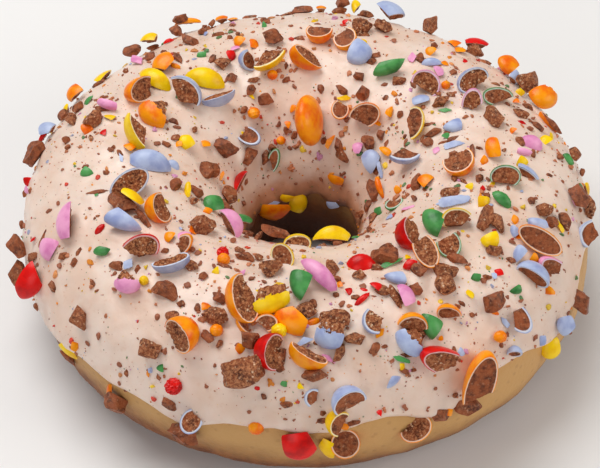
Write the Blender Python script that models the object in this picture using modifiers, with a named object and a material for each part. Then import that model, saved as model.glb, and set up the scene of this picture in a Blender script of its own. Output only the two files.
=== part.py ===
"""An iced ring doughnut: a ring of fried dough and the layer of icing that lies over its upper half.

Blender 4.5, metres, +Z up. The doughnut lies flat. Its origin is on the surface it rests on, in the middle of
the hole. A place on the ring is a ring angle (0 at the front, -Y, and 90 degrees at +X) and a tube angle
(0 on the outer side, 90 degrees on the crest, 180 in the hole).
"""

import math

import bmesh
import bpy
from mathutils import Vector

MM = 0.001

# Driving dimensions
RING_RADIUS = 27.6 * MM  # from the middle of the hole to the crest of the dough
DOUGH_HALF_WIDTH = 16.2 * MM  # from the crest out to the outer side
DOUGH_HALF_HEIGHT = 13.6 * MM
FLAT_DROP = 12.6 * MM  # from the middle of the dough down to its flat underside
HOLE_RADIUS = 9.0 * MM  # at the narrowest place
HOLE_DROP = 9.0 * MM  # from the middle of the dough down to the narrowest place of the hole
ROUNDNESS = 2.15  # exponent of the section's outer curve: 2 is an ellipse, more is squarer
HOLE_ROUNDNESS = 1.95  # the same for the long slope down into the hole
FOOT_ROUNDNESS = 5.0  # the same for the short turn from the hole to the underside
ICING_THICKNESS = 0.9 * MM
ICING_GAP = 0.3 * MM  # the gap that keeps the two solids apart
ICING_LIP = 0.35 * MM  # rounding of the icing's edges

# Unevenness of the hand-cut ring. Each wave is (times round the ring, share of the size, phase in degrees).
# Even counts keep opposite sides alike, so the ring stays centred on its origin.
WIDTH_WAVES = ((2, 0.010, 20), (4, 0.008, 75))
HEIGHT_WAVES = ((2, 0.014, 130), (4, 0.010, 10))

# Where the icing ends, as tube angles in degrees
OUTER_EDGE = 4.0  # the mean height of the edge on the outer side
OUTER_LEAN = 12.0  # the icing ran further down on one side than on the other
OUTER_LEAN_TOWARDS = 70.0  # the ring angle where the edge is highest
OUTER_RIPPLES = ((5, 1.5, 40), (9, 1.3, 200))
INNER_EDGE = 166.0  # the mean place of the edge inside the hole
INNER_RIPPLES = ((3, 2.5, 60), (7, 1.5, 10))

# Drips below the outer edge: (ring angle, how far down, half width), all in degrees
DRIPS = ((334, 6, 6), (2, 5, 7), (24, 8, 7), (55, 9, 6), (118, 8, 7), (163, 9, 8), (221, 7, 6), (284, 7, 9))

# Fineness of the meshes
DOUGH_STEPS = (64, 28)  # round the ring, round the section
ICING_STEPS = (84, 13)  # round the ring, across the sheet


def empty_scene():
    for obj in list(bpy.data.objects):
        bpy.data.objects.remove(obj, do_unlink=True)


def waves(ring, terms):
    """The sum of the waves in terms at a ring angle in radians."""
    return sum(size * math.cos(count * ring + math.radians(phase)) for count, size, phase in terms)


def signed_power(base, exponent):
    return math.copysign(abs(base) ** exponent, base)


def dough_point(ring, tube):
    """The point of the dough's surface at a ring angle and a tube angle, in radians.

    The section is made of quarters of superellipses that meet on the outer side, at the crest and in the hole.
    """
    across, up = math.cos(tube), math.sin(tube)
    half_height = DOUGH_HALF_HEIGHT * (1 + waves(ring, HEIGHT_WAVES))
    if across > 0:
        half_width, middle, roundness = DOUGH_HALF_WIDTH, 0.0, ROUNDNESS
    else:
        half_width, middle = RING_RADIUS - HOLE_RADIUS, -HOLE_DROP
        roundness = HOLE_ROUNDNESS if up > 0 else FOOT_ROUNDNESS
    reach = half_height - middle if up > 0 else half_height + middle
    radius = RING_RADIUS + half_width * (1 + waves(ring, WIDTH_WAVES)) * signed_power(across, 2 / roundness)
    height = max(middle + reach * signed_power(up, 2 / roundness), -FLAT_DROP)
    return Vector((radius * math.sin(ring), -radius * math.cos(ring), FLAT_DROP + height))


def dough_normal(ring, tube):
    """The outward normal of the dough's surface, from its slopes along the ring and round the tube."""
    step = 0.002
    along = dough_point(ring + step, tube) - dough_point(ring - step, tube)
    across = dough_point(ring, tube + step) - dough_point(ring, tube - step)
    return along.cross(across).normalized()


def outer_edge(ring):
    """The tube angle where the icing ends on the outer side, in degrees."""
    lean = OUTER_LEAN * math.cos(ring - math.radians(OUTER_LEAN_TOWARDS))
    edge = OUTER_EDGE + lean + waves(ring, OUTER_RIPPLES)
    for place, drop, half_width in DRIPS:
        away = math.remainder(ring - math.radians(place), math.tau) / math.radians(half_width)
        edge -= drop * math.exp(-away * away)
    return edge


def inner_edge(ring):
    """The tube angle where the icing ends inside the hole, in degrees."""
    return INNER_EDGE + waves(ring, INNER_RIPPLES)


def material(name, colour, roughness):
    made = bpy.data.materials.new(name)
    made.use_nodes = True
    shader = made.node_tree.nodes["Principled BSDF"]
    shader.inputs["Base Color"].default_value = (*colour, 1)
    shader.inputs["Roughness"].default_value = roughness
    shader.inputs["Metallic"].default_value = 0
    return made


def smooth(obj):
    obj.data.shade_smooth()
    obj.data.set_sharp_from_angle(angle=math.radians(50))


def add_dough(collection):
    """A torus whose every vertex is moved to the same ring and tube angle of the dough's surface."""
    steps_round, steps_section = DOUGH_STEPS
    bpy.ops.mesh.primitive_torus_add(
        major_radius=RING_RADIUS,
        minor_radius=DOUGH_HALF_WIDTH,
        major_segments=steps_round,
        minor_segments=steps_section,
    )
    dough = bpy.context.object
    dough.name = "dough"
    for vertex in dough.data.vertices:
        x, y, z = vertex.co
        vertex.co = dough_point(math.atan2(x, -y), math.atan2(z, math.hypot(x, y) - RING_RADIUS))
    dough.data.materials.append(material("fried_dough", (0.62, 0.40, 0.17), 0.55))
    move_to(dough, collection)
    smooth(dough)
    return dough


def add_icing(collection):
    """A grid wrapped over the upper half of the dough, closed at its seam and thickened outwards."""
    steps_round, steps_across = ICING_STEPS
    sheet = bmesh.new()
    bmesh.ops.create_grid(sheet, x_segments=steps_round, y_segments=steps_across, size=0.5)
    for vertex in sheet.verts:
        ring = (vertex.co.x + 0.5) * math.tau
        low, high = outer_edge(ring), inner_edge(ring)
        tube = math.radians(low + (high - low) * (vertex.co.y + 0.5))
        vertex.co = dough_point(ring, tube) + dough_normal(ring, tube) * ICING_GAP
    bmesh.ops.remove_doubles(sheet, verts=sheet.verts, dist=0.01 * MM)
    mesh = bpy.data.meshes.new("icing")
    sheet.to_mesh(mesh)
    sheet.free()
    mesh.materials.append(material("icing_white", (0.80, 0.68, 0.58), 0.3))

    icing = bpy.data.objects.new("icing", mesh)
    collection.objects.link(icing)
    thicken = icing.modifiers.new("thickness", "SOLIDIFY")
    thicken.thickness = ICING_THICKNESS
    thicken.offset = 1
    thicken.use_even_offset = True
    lip = icing.modifiers.new("rounded lip", "BEVEL")
    lip.width = ICING_LIP
    lip.segments = 2
    lip.limit_method = "ANGLE"
    lip.angle_limit = math.radians(50)
    smooth(icing)
    return icing


def move_to(obj, collection):
    for holder in list(obj.users_collection):
        holder.objects.unlink(obj)
    collection.objects.link(obj)


def main():
    empty_scene()
    doughnut = bpy.data.collections.new("iced_doughnut")
    bpy.context.scene.collection.children.link(doughnut)
    add_dough(doughnut)
    add_icing(doughnut)


main()
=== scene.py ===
import math

import bmesh
import bpy
import numpy as np
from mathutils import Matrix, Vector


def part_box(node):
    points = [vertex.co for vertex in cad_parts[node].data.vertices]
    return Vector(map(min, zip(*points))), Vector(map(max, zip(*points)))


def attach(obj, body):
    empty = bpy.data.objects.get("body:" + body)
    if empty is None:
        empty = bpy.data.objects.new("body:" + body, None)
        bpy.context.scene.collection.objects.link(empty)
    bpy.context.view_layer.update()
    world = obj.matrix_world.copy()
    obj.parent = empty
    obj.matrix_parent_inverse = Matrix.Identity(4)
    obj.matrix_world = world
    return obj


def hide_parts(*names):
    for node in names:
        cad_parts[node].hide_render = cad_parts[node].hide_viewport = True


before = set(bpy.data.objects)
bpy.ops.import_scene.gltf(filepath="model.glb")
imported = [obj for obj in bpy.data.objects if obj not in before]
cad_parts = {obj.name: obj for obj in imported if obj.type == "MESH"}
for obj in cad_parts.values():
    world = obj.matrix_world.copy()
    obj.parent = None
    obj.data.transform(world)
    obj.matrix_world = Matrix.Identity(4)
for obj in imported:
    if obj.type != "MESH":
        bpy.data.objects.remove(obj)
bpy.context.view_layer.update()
mm = 0.001
print("frame loaded")

# All places on the doughnut are a ring angle (0 at the front, 90 at +X) and a tube angle (0 on the outer side,
# 90 on the crest, 180 in the hole), in degrees. All sizes are millimetres unless they are named otherwise.
ring = {
    "halfWidth": 16.2,  # crest to outer side
    "halfHeight": 13.6,
    "flatDrop": 12.6,  # middle of the dough to its underside
    "holeRadius": 9.0,
    "holeDrop": 9.0,  # middle of the dough down to the narrowest place of the hole
    "holeShift": 0.5,  # the hole sits a little to the left
    "roundness": 2.15,
    "holeRoundness": 1.95,
    "footRoundness": 5.0,
    "widthWaves": [(2, 0.010, 20), (4, 0.008, 75)],
    "heightWaves": [(2, 0.014, 130), (4, 0.010, 10)],
}
doughLow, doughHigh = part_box("dough")
doughSpan = (doughHigh[0] - doughLow[0] + doughHigh[1] - doughLow[1]) / 2 / mm
ring["radius"] = doughSpan / 2 - ring["halfWidth"]


def waveSum(angle, terms):
    return sum(size * np.cos(count * angle + math.radians(phase)) for count, size, phase in terms)


def signedPower(base, exponent):
    return np.sign(base) * np.abs(base) ** exponent


def doughPoint(around, tube):
    # around and tube in radians, as arrays; gives points in millimetres
    across, up = np.cos(tube), np.sin(tube)
    inside = across < 0
    roundness = np.where(inside, np.where(up > 0, ring["holeRoundness"], ring["footRoundness"]), ring["roundness"])
    halfWidth = np.where(inside, ring["radius"] - ring["holeRadius"] + ring["holeShift"] * np.sin(around), ring["halfWidth"])
    halfWidth = halfWidth * (1 + waveSum(around, ring["widthWaves"]))
    halfHeight = ring["halfHeight"] * (1 + waveSum(around, ring["heightWaves"]))
    middle = np.where(inside, -ring["holeDrop"], 0.0)
    reach = np.where(up > 0, halfHeight - middle, halfHeight + middle)
    radius = ring["radius"] + halfWidth * signedPower(across, 2 / roundness)
    height = np.maximum(middle + reach * signedPower(up, 2 / roundness), -ring["flatDrop"])
    return np.stack([radius * np.sin(around), -radius * np.cos(around), ring["flatDrop"] + height], -1)


def normalAt(pointAt, around, tube):
    step = 0.004
    along = pointAt(around + step, tube) - pointAt(around - step, tube)
    over = pointAt(around, tube + step) - pointAt(around, tube - step)
    normal = np.cross(along, over)
    return normal / np.linalg.norm(normal, axis=-1, keepdims=True)


def softNoise(points, size, seed, count=9):
    # a smooth random field of about unit strength, whose bumps are about size across
    dice = np.random.default_rng(seed)
    ways = dice.normal(size=(count, 3))
    ways *= (2 * math.pi / size) * dice.uniform(0.6, 1.5, (count, 1)) / np.linalg.norm(ways, axis=1, keepdims=True)
    return np.sin(points @ ways.T + dice.uniform(0, 2 * math.pi, count)).sum(-1) / math.sqrt(count / 2)


# ---- meshes

def finishMesh(name, points, faces, material, sharpFrom=None, **layers):
    # points in millimetres; layers are float values, one for each point
    mesh = bpy.data.meshes.new(name)
    faces = np.asarray(faces, dtype=np.int32)
    corners = faces.shape[1]
    mesh.vertices.add(len(points))
    mesh.vertices.foreach_set("co", (np.asarray(points) * mm).astype(np.float32).ravel())
    mesh.loops.add(faces.size)
    mesh.loops.foreach_set("vertex_index", faces.ravel())
    mesh.polygons.add(len(faces))
    mesh.polygons.foreach_set("loop_start", np.arange(len(faces), dtype=np.int32) * corners)
    mesh.update(calc_edges=True)
    mesh.validate()
    for layerName, values in layers.items():
        values = np.asarray(values, dtype=np.float32)
        kind = "FLOAT" if values.ndim == 1 else "FLOAT_COLOR"
        layer = mesh.attributes.new(layerName, kind, "POINT")
        layer.data.foreach_set("value" if kind == "FLOAT" else "color", values.ravel())
    mesh.shade_smooth()
    if sharpFrom:
        mesh.set_sharp_from_angle(angle=math.radians(sharpFrom))
    mesh.materials.append(material)
    piece = bpy.data.objects.new(name, mesh)
    bpy.context.scene.collection.objects.link(piece)
    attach(piece, "root")
    return piece


def gridFaces(rows, columns, wrapRows=False):
    # quads of a grid whose columns close on themselves
    row = np.arange(rows if wrapRows else rows - 1)[:, None]
    column = np.arange(columns)[None, :]
    nextRow, nextColumn = (row + 1) % rows, (column + 1) % columns
    corner = [row * columns + column, row * columns + nextColumn, nextRow * columns + nextColumn, nextRow * columns + column]
    return np.stack([part.ravel() for part in corner], -1)


# ---- materials

def toLinear(colour):
    # an ordinary 0-255 colour as the shader wants it
    return tuple((c / 255 / 12.92) if c < 10.3 else ((c / 255 + 0.055) / 1.055) ** 2.4 for c in colour) + (1.0,)


class Nodes:
    # short ways to write a node material
    def __init__(self, name):
        self.material = bpy.data.materials.new(name)
        self.material.use_nodes = True
        self.tree = self.material.node_tree
        self.shader = self.tree.nodes["Principled BSDF"]
        place = self.add("ShaderNodeTexCoord")
        self.place = self.add("ShaderNodeVectorMath", operation="SCALE")
        self.place.inputs["Scale"].default_value = 1 / mm
        self.join(place.outputs["Object"], self.place.inputs[0])

    def add(self, kind, **settings):
        made = self.tree.nodes.new(kind)
        for name, value in settings.items():
            setattr(made, name, value)
        return made

    def join(self, out, into):
        if isinstance(out, (int, float)):
            into.default_value = out
        elif isinstance(out, tuple):
            into.default_value = out
        else:
            self.tree.links.new(out, into)

    def noise(self, size, detail=3.0, roughness=0.55, distortion=0.0):
        # size is the width of a blotch in millimetres
        made = self.add("ShaderNodeTexNoise")
        self.join(self.place.outputs[0], made.inputs["Vector"])
        made.inputs["Scale"].default_value = 1 / size
        made.inputs["Detail"].default_value = detail
        made.inputs["Roughness"].default_value = roughness
        made.inputs["Distortion"].default_value = distortion
        return made.outputs["Fac"]

    def cells(self, size, output="Distance", randomness=1.0):
        made = self.add("ShaderNodeTexVoronoi")
        self.join(self.place.outputs[0], made.inputs["Vector"])
        made.inputs["Scale"].default_value = 1 / size
        made.inputs["Randomness"].default_value = randomness
        return made.outputs[output]

    def ramp(self, value, low, high, toLow=0.0, toHigh=1.0, smooth=True):
        made = self.add("ShaderNodeMapRange", interpolation_type="SMOOTHSTEP" if smooth else "LINEAR")
        self.join(value, made.inputs["Value"])
        for name, number in (("From Min", low), ("From Max", high), ("To Min", toLow), ("To Max", toHigh)):
            made.inputs[name].default_value = number
        return made.outputs["Result"]

    def mix(self, amount, first, second):
        made = self.add("ShaderNodeMix", data_type="RGBA")
        self.join(amount, made.inputs["Factor"])
        self.join(first, made.inputs["A"] if hasattr(made.inputs, "none") else made.inputs[6])
        self.join(second, made.inputs[7])
        return made.outputs[2]

    def math(self, operation, first, second=0.0, third=0.0):
        made = self.add("ShaderNodeMath", operation=operation)
        for index, value in enumerate((first, second, third)):
            self.join(value, made.inputs[index])
        return made.outputs[0]

    def layer(self, name, output="Fac"):
        made = self.add("ShaderNodeAttribute", attribute_name=name)
        return made.outputs[output]

    def heightZ(self):
        made = self.add("ShaderNodeSeparateXYZ")
        self.join(self.place.outputs[0], made.inputs[0])
        return made.outputs["Z"]

    def bump(self, height, depth, strength=1.0, after=None):
        made = self.add("ShaderNodeBump")
        self.join(height, made.inputs["Height"])
        made.inputs["Distance"].default_value = depth * mm
        made.inputs["Strength"].default_value = strength
        if after:
            self.join(after, made.inputs["Normal"])
        return made.outputs["Normal"]

    def finish(self, colour, roughness, normal=None, **sockets):
        self.join(colour, self.shader.inputs["Base Color"])
        self.join(roughness, self.shader.inputs["Roughness"])
        if normal:
            self.join(normal, self.shader.inputs["Normal"])
        for name, value in sockets.items():
            self.shader.inputs[name.replace("_", " ")].default_value = value
        return self.material


chocolateLook = {
    "dark": (84, 35, 16),
    "middle": (154, 80, 42),
    "light": (206, 138, 92),
    # pale specks of the chocolate, partly painted glints
    "fleckAndGlint": (240, 206, 172),
}


def chocolateColour(nodes):
    # grain is 0 for smoothly cut chocolate and 1 for a crumbly face
    grain = nodes.layer("grain")
    blotch = nodes.ramp(nodes.noise(1.1, 4.0, 0.6), 0.30, 0.62)
    colour = nodes.mix(blotch, toLinear(chocolateLook["dark"]), toLinear(chocolateLook["middle"]))
    crumbly = nodes.ramp(nodes.noise(0.42, 5.0, 0.75), 0.46, 0.58)
    amount = nodes.math("MULTIPLY", crumbly, nodes.math("MULTIPLY_ADD", grain, 0.78, 0.12))
    colour = nodes.mix(amount, colour, toLinear(chocolateLook["light"]))
    # pale flecks: partly real specks, partly painted glints on the rough broken faces
    fleckAndGlint = nodes.ramp(nodes.cells(0.55), 0.36, 0.20)
    chosen = nodes.math("MULTIPLY", fleckAndGlint, nodes.ramp(nodes.noise(1.2, 2.0), 0.50, 0.60))
    chosen = nodes.math("MULTIPLY", chosen, nodes.math("MULTIPLY_ADD", grain, 0.85, 0.10))
    return nodes.mix(chosen, colour, toLinear(chocolateLook["fleckAndGlint"]))


def chocolateRelief(nodes):
    coarse = nodes.math("MULTIPLY", nodes.noise(0.24, 5.0, 0.7), nodes.math("MULTIPLY_ADD", nodes.layer("grain"), 0.8, 0.2))
    return coarse


def sweetMaterial(name, coat, deep, pale=0.55):
    # depth is how far a point lies under the sweet's outer surface: skin, then pale sugar, then chocolate
    nodes = Nodes(name)
    depth = nodes.layer("depth")
    wobble = nodes.math("MULTIPLY_ADD", nodes.noise(0.5), 0.12, -0.06)
    uneven = nodes.math("ADD", depth, wobble)
    skin = toLinear(coat)
    tone = nodes.ramp(nodes.noise(2.6, 3.0), 0.28, 0.62)
    skinColour = nodes.mix(tone, toLinear(deep), skin)
    scuff = nodes.ramp(nodes.noise(0.30, 4.0, 0.7), 0.66, 0.78, 0.0, 0.28)
    whiter = tuple(c + (0.92 - c) * 0.55 for c in skin[:3]) + (1.0,)
    skinColour = nodes.mix(scuff, skinColour, whiter)
    sugar = tuple(c + (0.80 - c) * pale for c in skin[:3]) + (1.0,)
    inSugar = nodes.ramp(uneven, 0.07, 0.13)
    inChocolate = nodes.ramp(uneven, 0.27, 0.33)
    colour = nodes.mix(inSugar, skinColour, sugar)
    colour = nodes.mix(inChocolate, colour, chocolateColour(nodes))
    grain = nodes.math("MULTIPLY", chocolateRelief(nodes), inChocolate)
    skinGrain = nodes.math("MULTIPLY", nodes.noise(0.45, 2.0, 0.5), 0.10)
    normal = nodes.bump(nodes.math("ADD", grain, skinGrain), 0.28, 1.0)
    roughness = nodes.ramp(inChocolate, 0.0, 1.0, 0.30, 0.58)
    return nodes.finish(colour, roughness, normal, Specular_IOR_Level=0.3)


def chocolateMaterial():
    nodes = Nodes("milkChocolate")
    normal = nodes.bump(chocolateRelief(nodes), 0.34, 1.0)
    roughness = nodes.ramp(nodes.noise(0.8), 0.3, 0.7, 0.42, 0.66)
    return nodes.finish(chocolateColour(nodes), roughness, normal, Specular_IOR_Level=0.4)


def crumbMaterial():
    nodes = Nodes("crumbs")
    tint = nodes.layer("tint", "Color")
    shade = nodes.ramp(nodes.noise(0.2, 3.0), 0.35, 0.7, 0.0, 0.35)
    colour = nodes.mix(shade, tint, toLinear((150, 86, 58)))
    return nodes.finish(colour, 0.55, nodes.bump(nodes.noise(0.15, 3.0), 0.05, 0.7))


icingLook = {
    "cream": (238, 217, 203),
    "warm": (228, 199, 180),
    "stain": (214, 170, 140),
    "gloss": 0.36,
}


def icingMaterial():
    nodes = Nodes("sugarIcing")
    cloud = nodes.ramp(nodes.noise(7.0, 3.0), 0.3, 0.7)
    colour = nodes.mix(cloud, toLinear(icingLook["warm"]), toLinear(icingLook["cream"]))
    stain = nodes.ramp(nodes.noise(1.6, 4.0, 0.65), 0.56, 0.80, 0.0, 0.45)
    colour = nodes.mix(stain, colour, toLinear(icingLook["stain"]))
    # low in the hole the icing thins out and the dough shows through, and further down it is darkened to a deep brown
    # as painted shade of the hole
    thin = nodes.math("ADD", nodes.layer("thin"), nodes.ramp(nodes.noise(3.0, 3.0), 0.3, 0.7, -0.08, 0.08))
    colour = nodes.mix(nodes.ramp(thin, 0.05, 0.55), colour, toLinear((200, 142, 108)))
    colour = nodes.mix(nodes.ramp(thin, 0.45, 0.95), colour, toLinear((104, 60, 36)))
    # the finest dust of chocolate and sugar coats, too small to be grains of its own
    for size, tint in ((0.9, (150, 88, 52)), (1.3, (232, 150, 70)), (1.7, (120, 128, 96))):
        dot = nodes.ramp(nodes.cells(size), 0.105, 0.06, 0.0, 0.85)
        patch = nodes.ramp(nodes.noise(3.1, 2.0), 0.50, 0.62)
        colour = nodes.mix(nodes.math("MULTIPLY", dot, patch), colour, toLinear(tint))
    swell = nodes.math("ADD", nodes.noise(2.4, 2.0), nodes.math("MULTIPLY", nodes.noise(0.5, 3.0), 0.16))
    roughness = nodes.ramp(nodes.noise(1.4, 3.0), 0.3, 0.7, icingLook["gloss"] - 0.06, icingLook["gloss"] + 0.12)
    return nodes.finish(
        colour,
        roughness,
        nodes.bump(swell, 0.20, 0.7),
        Subsurface_Weight=0.22,
        Subsurface_Scale=1.2 * mm,
        Subsurface_Radius=(1.0, 0.62, 0.45),
        Specular_IOR_Level=0.5,
    )


doughLook = {
    "band": (204, 158, 98),  # the pale line where the two fried sides meet
    "gold": (152, 90, 40),
    "brown": (112, 60, 25),
    # deep is the painted shade colour, used low in the hole
    "deep": (78, 42, 20),
    "paintedLightTowards": 62.0,  # the ring angle where the dough is painted palest, as painted light falling from the right
}


def doughMaterial():
    nodes = Nodes("friedDough")
    lift = nodes.math("MULTIPLY_ADD", nodes.noise(6.0, 3.0), 3.0, -1.5)
    height = nodes.math("ADD", nodes.heightZ(), lift)
    # painted light: the dough is painted paler on the side the light falls on
    height = nodes.math("MULTIPLY_ADD", nodes.layer("paler"), 5.5, height)
    fried = nodes.ramp(height, 15.0, 8.5)
    mottle = nodes.ramp(nodes.noise(1.8, 5.0, 0.65), 0.32, 0.70)
    crust = nodes.mix(mottle, toLinear(doughLook["brown"]), toLinear(doughLook["gold"]))
    colour = nodes.mix(fried, toLinear(doughLook["band"]), crust)
    low = nodes.ramp(height, 5.0, 0.5, 0.0, 0.6)
    colour = nodes.mix(low, colour, toLinear(doughLook["brown"]))
    colour = nodes.mix(nodes.layer("shade"), colour, toLinear(doughLook["deep"]))
    pore = nodes.ramp(nodes.cells(1.5), 0.30, 0.12)
    colour = nodes.mix(nodes.math("MULTIPLY", pore, 0.15), colour, toLinear(doughLook["brown"]))
    relief = nodes.math("SUBTRACT", nodes.noise(0.8, 5.0, 0.6), nodes.math("MULTIPLY", pore, 0.12))
    return nodes.finish(colour, 0.55, nodes.bump(relief, 0.22, 0.8), Specular_IOR_Level=0.4)


# ---- where the icing ends

icing = {
    "thickness": 1.2,
    "bead": 1.1,  # width of the rounded edge
    # where the icing ends on the outer side, as (ring angle, tube angle)
    "outerEdge": [
        (0, 5), (5, 3), (10, 9), (17, 9.5), (22, 1), (28, 2), (33, 8), (37, 12), (45, 12.5), (49, 9), (52, 2),
        (58, 0), (64, 9), (72, 19), (80, 15), (90, 9), (99, 12), (108, 5), (116, -4), (124, 3), (136, 8), (148, 4),
        (160, -5), (170, 3), (182, 7), (195, 1), (206, 6), (217, -4), (228, 2), (240, -3), (252, -9), (264, -6),
        (276, -11), (290, -15), (300, -8), (308, 0), (313, 3), (318, 0), (323, 3), (329, 4), (334, -4), (338, -3),
        (342, 3), (346, 8), (350, 5), (354, 8.5), (357, 5),
    ],
    "innerEdge": 166.0,
    "innerRipples": [(3, 2.5, 60), (7, 1.5, 10), (11, 1.0, 130)],
    "meshAround": 420,
    "meshOver": 104,
}


def outerEdge(around):
    # a smooth closed curve through the edge's places, in degrees
    places = np.array(icing["outerEdge"], dtype=float)
    angle = np.degrees(around) % 360
    spread = np.concatenate([places[:, 0] - 360, places[:, 0], places[:, 0] + 360])
    heights = np.tile(places[:, 1], 3)
    blurred = 0
    for offset, share in ((-2.4, 0.2), (-1.2, 0.2), (0, 0.2), (1.2, 0.2), (2.4, 0.2)):
        blurred = blurred + share * np.interp(angle + offset, spread, heights)
    return blurred


def innerEdge(around):
    return icing["innerEdge"] + waveSum(around, icing["innerRipples"])


# ---- the dough

doughMesh = {
    "around": 320,
    "over": 128,
    "wrinkles": 0.03,
    "swells": 0.07,
    "bulge": 0.75,  # how far the bare dough swells out just below the icing
    "belly": 0.75,  # and how much more further down
}


def makeDough():
    around, tube = np.meshgrid(
        np.linspace(0, 2 * math.pi, doughMesh["around"], endpoint=False),
        np.linspace(0, 2 * math.pi, doughMesh["over"], endpoint=False),
    )
    around, tube = around.ravel(), tube.ravel()
    points, normals = doughPoint(around, tube), normalAt(doughPoint, around, tube)
    relief = doughMesh["swells"] * softNoise(points, 9.0, 3) + doughMesh["wrinkles"] * softNoise(points, 2.6, 4)
    relief += 0.02 * softNoise(points, 1.1, 5)
    onTable = np.clip((points[:, 2] - 0.05) / 1.6, 0, 1)  # the underside stays flat where it rests
    angle = (np.degrees(tube) + 90) % 360 - 90
    below = np.clip((outerEdge(around) + 7 - angle) / 12, 0, 1) * np.clip((angle + 88) / 22, 0, 1)
    belly = np.clip((outerEdge(around) - 6 - angle) / 34, 0, 1) * np.clip((angle + 88) / 22, 0, 1)
    swell = doughMesh["bulge"] * below * below * (3 - 2 * below) + doughMesh["belly"] * belly * belly * (3 - 2 * belly)
    points = points + normals * ((relief - 0.1) * onTable + swell)[:, None]
    points[:, 2] = np.maximum(points[:, 2], 0.0)
    radius = np.hypot(points[:, 0], points[:, 1])
    shade = np.clip((15.5 - radius) / 4, 0, 1) * np.clip((11.0 - points[:, 2]) / 6, 0, 1)
    faces = gridFaces(doughMesh["over"], doughMesh["around"], wrapRows=True)
    # painted light, 1 on the lit side and 0 on the far side
    paler = 0.5 + 0.5 * np.cos(around - math.radians(doughLook["paintedLightTowards"]))
    dough = finishMesh("doughRing", points, faces, doughMaterial(), shade=shade, paler=paler)
    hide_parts("dough")
    print("dough made")
    return dough


# ---- the icing

def icingThickness(around, tube):
    # tube in radians; thin and rounded at both edges, a little thicker just above them
    fromOuter = (np.degrees(tube) - outerEdge(around)) * 0.285
    fromInner = (innerEdge(around) - np.degrees(tube)) * 0.40
    outer = np.sqrt(np.clip(1 - (1 - np.clip(fromOuter / icing["bead"], 0, 1)) ** 2, 0, 1))
    inner = np.sqrt(np.clip(1 - (1 - np.clip(fromInner / 4.0, 0, 1)) ** 2, 0, 1))
    bulge = 0.16 * np.exp(-((fromOuter - 1.3) / 0.9) ** 2)
    return (icing["thickness"] + bulge) * outer * inner


def icingPoint(around, tube):
    normal = normalAt(doughPoint, around, tube)
    base = doughPoint(around, tube)
    swell = 0.14 * softNoise(base, 10.0, 11) + 0.05 * softNoise(base, 3.5, 12)
    full = icingThickness(around, tube)
    return base + normal * (full + swell * np.clip(full / icing["thickness"], 0, 1))[..., None]


def makeIcing(beds):
    # beds are (place, radius) of the larger pieces, around which the icing rises a little
    columns, rows = icing["meshAround"], icing["meshOver"]
    around, share = np.meshgrid(np.linspace(0, 2 * math.pi, columns, endpoint=False), np.linspace(0, 1, rows))
    share = 0.5 - 0.5 * np.cos(math.pi * share) * (0.75 + 0.25 * np.cos(math.pi * share) ** 2)
    around, share = around.ravel(), share.ravel()
    low, high = outerEdge(around), innerEdge(around)
    tube = np.radians(low + (high - low) * share)
    top = icingPoint(around, tube)
    normals = normalAt(doughPoint, around, tube)
    bedPlaces = np.array([place for place, _ in beds])
    bedRadii = np.array([radius for _, radius in beds])
    rise = np.zeros(len(top))
    for start in range(0, len(top), 4000):
        part = slice(start, start + 4000)
        away = np.linalg.norm(top[part, None, :] - bedPlaces[None, :, :], axis=2) - bedRadii[None, :] * 0.8
        rise[part] = (0.22 * np.exp(-(np.maximum(away, 0) / 0.5) ** 2)).max(axis=1)
    full = np.clip(icingThickness(around, tube) / icing["thickness"], 0, 1)
    top = top + normals * (rise * full)[:, None]
    edgeRows = np.concatenate([np.arange(columns), np.arange(len(top) - columns, len(top))])
    top[edgeRows] -= normals[edgeRows] * 0.35  # the very edges are tucked into the dough

    hiddenRows = 14
    around2, share2 = np.meshgrid(
        np.linspace(0, 2 * math.pi, columns, endpoint=False), np.linspace(1, 0, hiddenRows + 2)[1:-1]
    )
    around2, share2 = around2.ravel(), share2.ravel()
    low, high = outerEdge(around2), innerEdge(around2)
    tube2 = np.radians(low + (high - low) * share2)
    under = doughPoint(around2, tube2) - normalAt(doughPoint, around2, tube2) * 0.7
    points = np.concatenate([top, under])
    faces = gridFaces(rows + hiddenRows, columns, wrapRows=True)
    radius = np.hypot(points[:, 0], points[:, 1])
    # where the icing thins low in the hole, and how much painted shade of the hole it gets
    thin = np.clip((16.5 - points[:, 2]) / 8.5, 0, 1) * np.clip((15.0 - radius) / 2.5, 0, 1)
    piece = finishMesh("icingLayer", points, faces, icingMaterial(), thin=thin)
    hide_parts("icing")
    print("icing made")
    return piece


# ---- broken sweets, chocolate and crumbs

sweet = {"radius": 4.8, "halfThickness": 2.7, "coat": 0.38}

balls = {}


def ballTemplate(parts):
    # an icosahedron whose triangles are divided into parts along each side and blown up to a ball
    if parts not in balls:
        seed = bmesh.new()
        bmesh.ops.create_icosphere(seed, subdivisions=1, radius=1.0)
        corners = [[np.array(vertex.co[:]) for vertex in face.verts] for face in seed.faces]
        seed.free()
        points, faces = [], []
        for a, b, c in corners:
            index = {}
            for i in range(parts + 1):
                for j in range(parts + 1 - i):
                    index[i, j] = len(points)
                    points.append((a * (parts - i - j) + b * i + c * j) / parts)
            for i in range(parts):
                for j in range(parts - i):
                    faces.append((index[i, j], index[i + 1, j], index[i, j + 1]))
                    if j < parts - i - 1:
                        faces.append((index[i + 1, j], index[i + 1, j + 1], index[i, j + 1]))
        points = np.array(points)
        _, first, merged = np.unique(np.round(points, 6), axis=0, return_index=True, return_inverse=True)
        merged = merged.ravel()
        points, faces = points[first], merged[np.array(faces)]
        pairs = np.sort(np.concatenate([faces[:, [0, 1]], faces[:, [1, 2]], faces[:, [2, 0]]]), axis=1)
        edges = np.unique(pairs, axis=0)
        balls[parts] = (points / np.linalg.norm(points, axis=1, keepdims=True), faces, edges)
    return balls[parts]


def fineness(size):
    return int(np.clip(round(1.5 + 2.1 * size ** 0.9), 2, 15))


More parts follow.
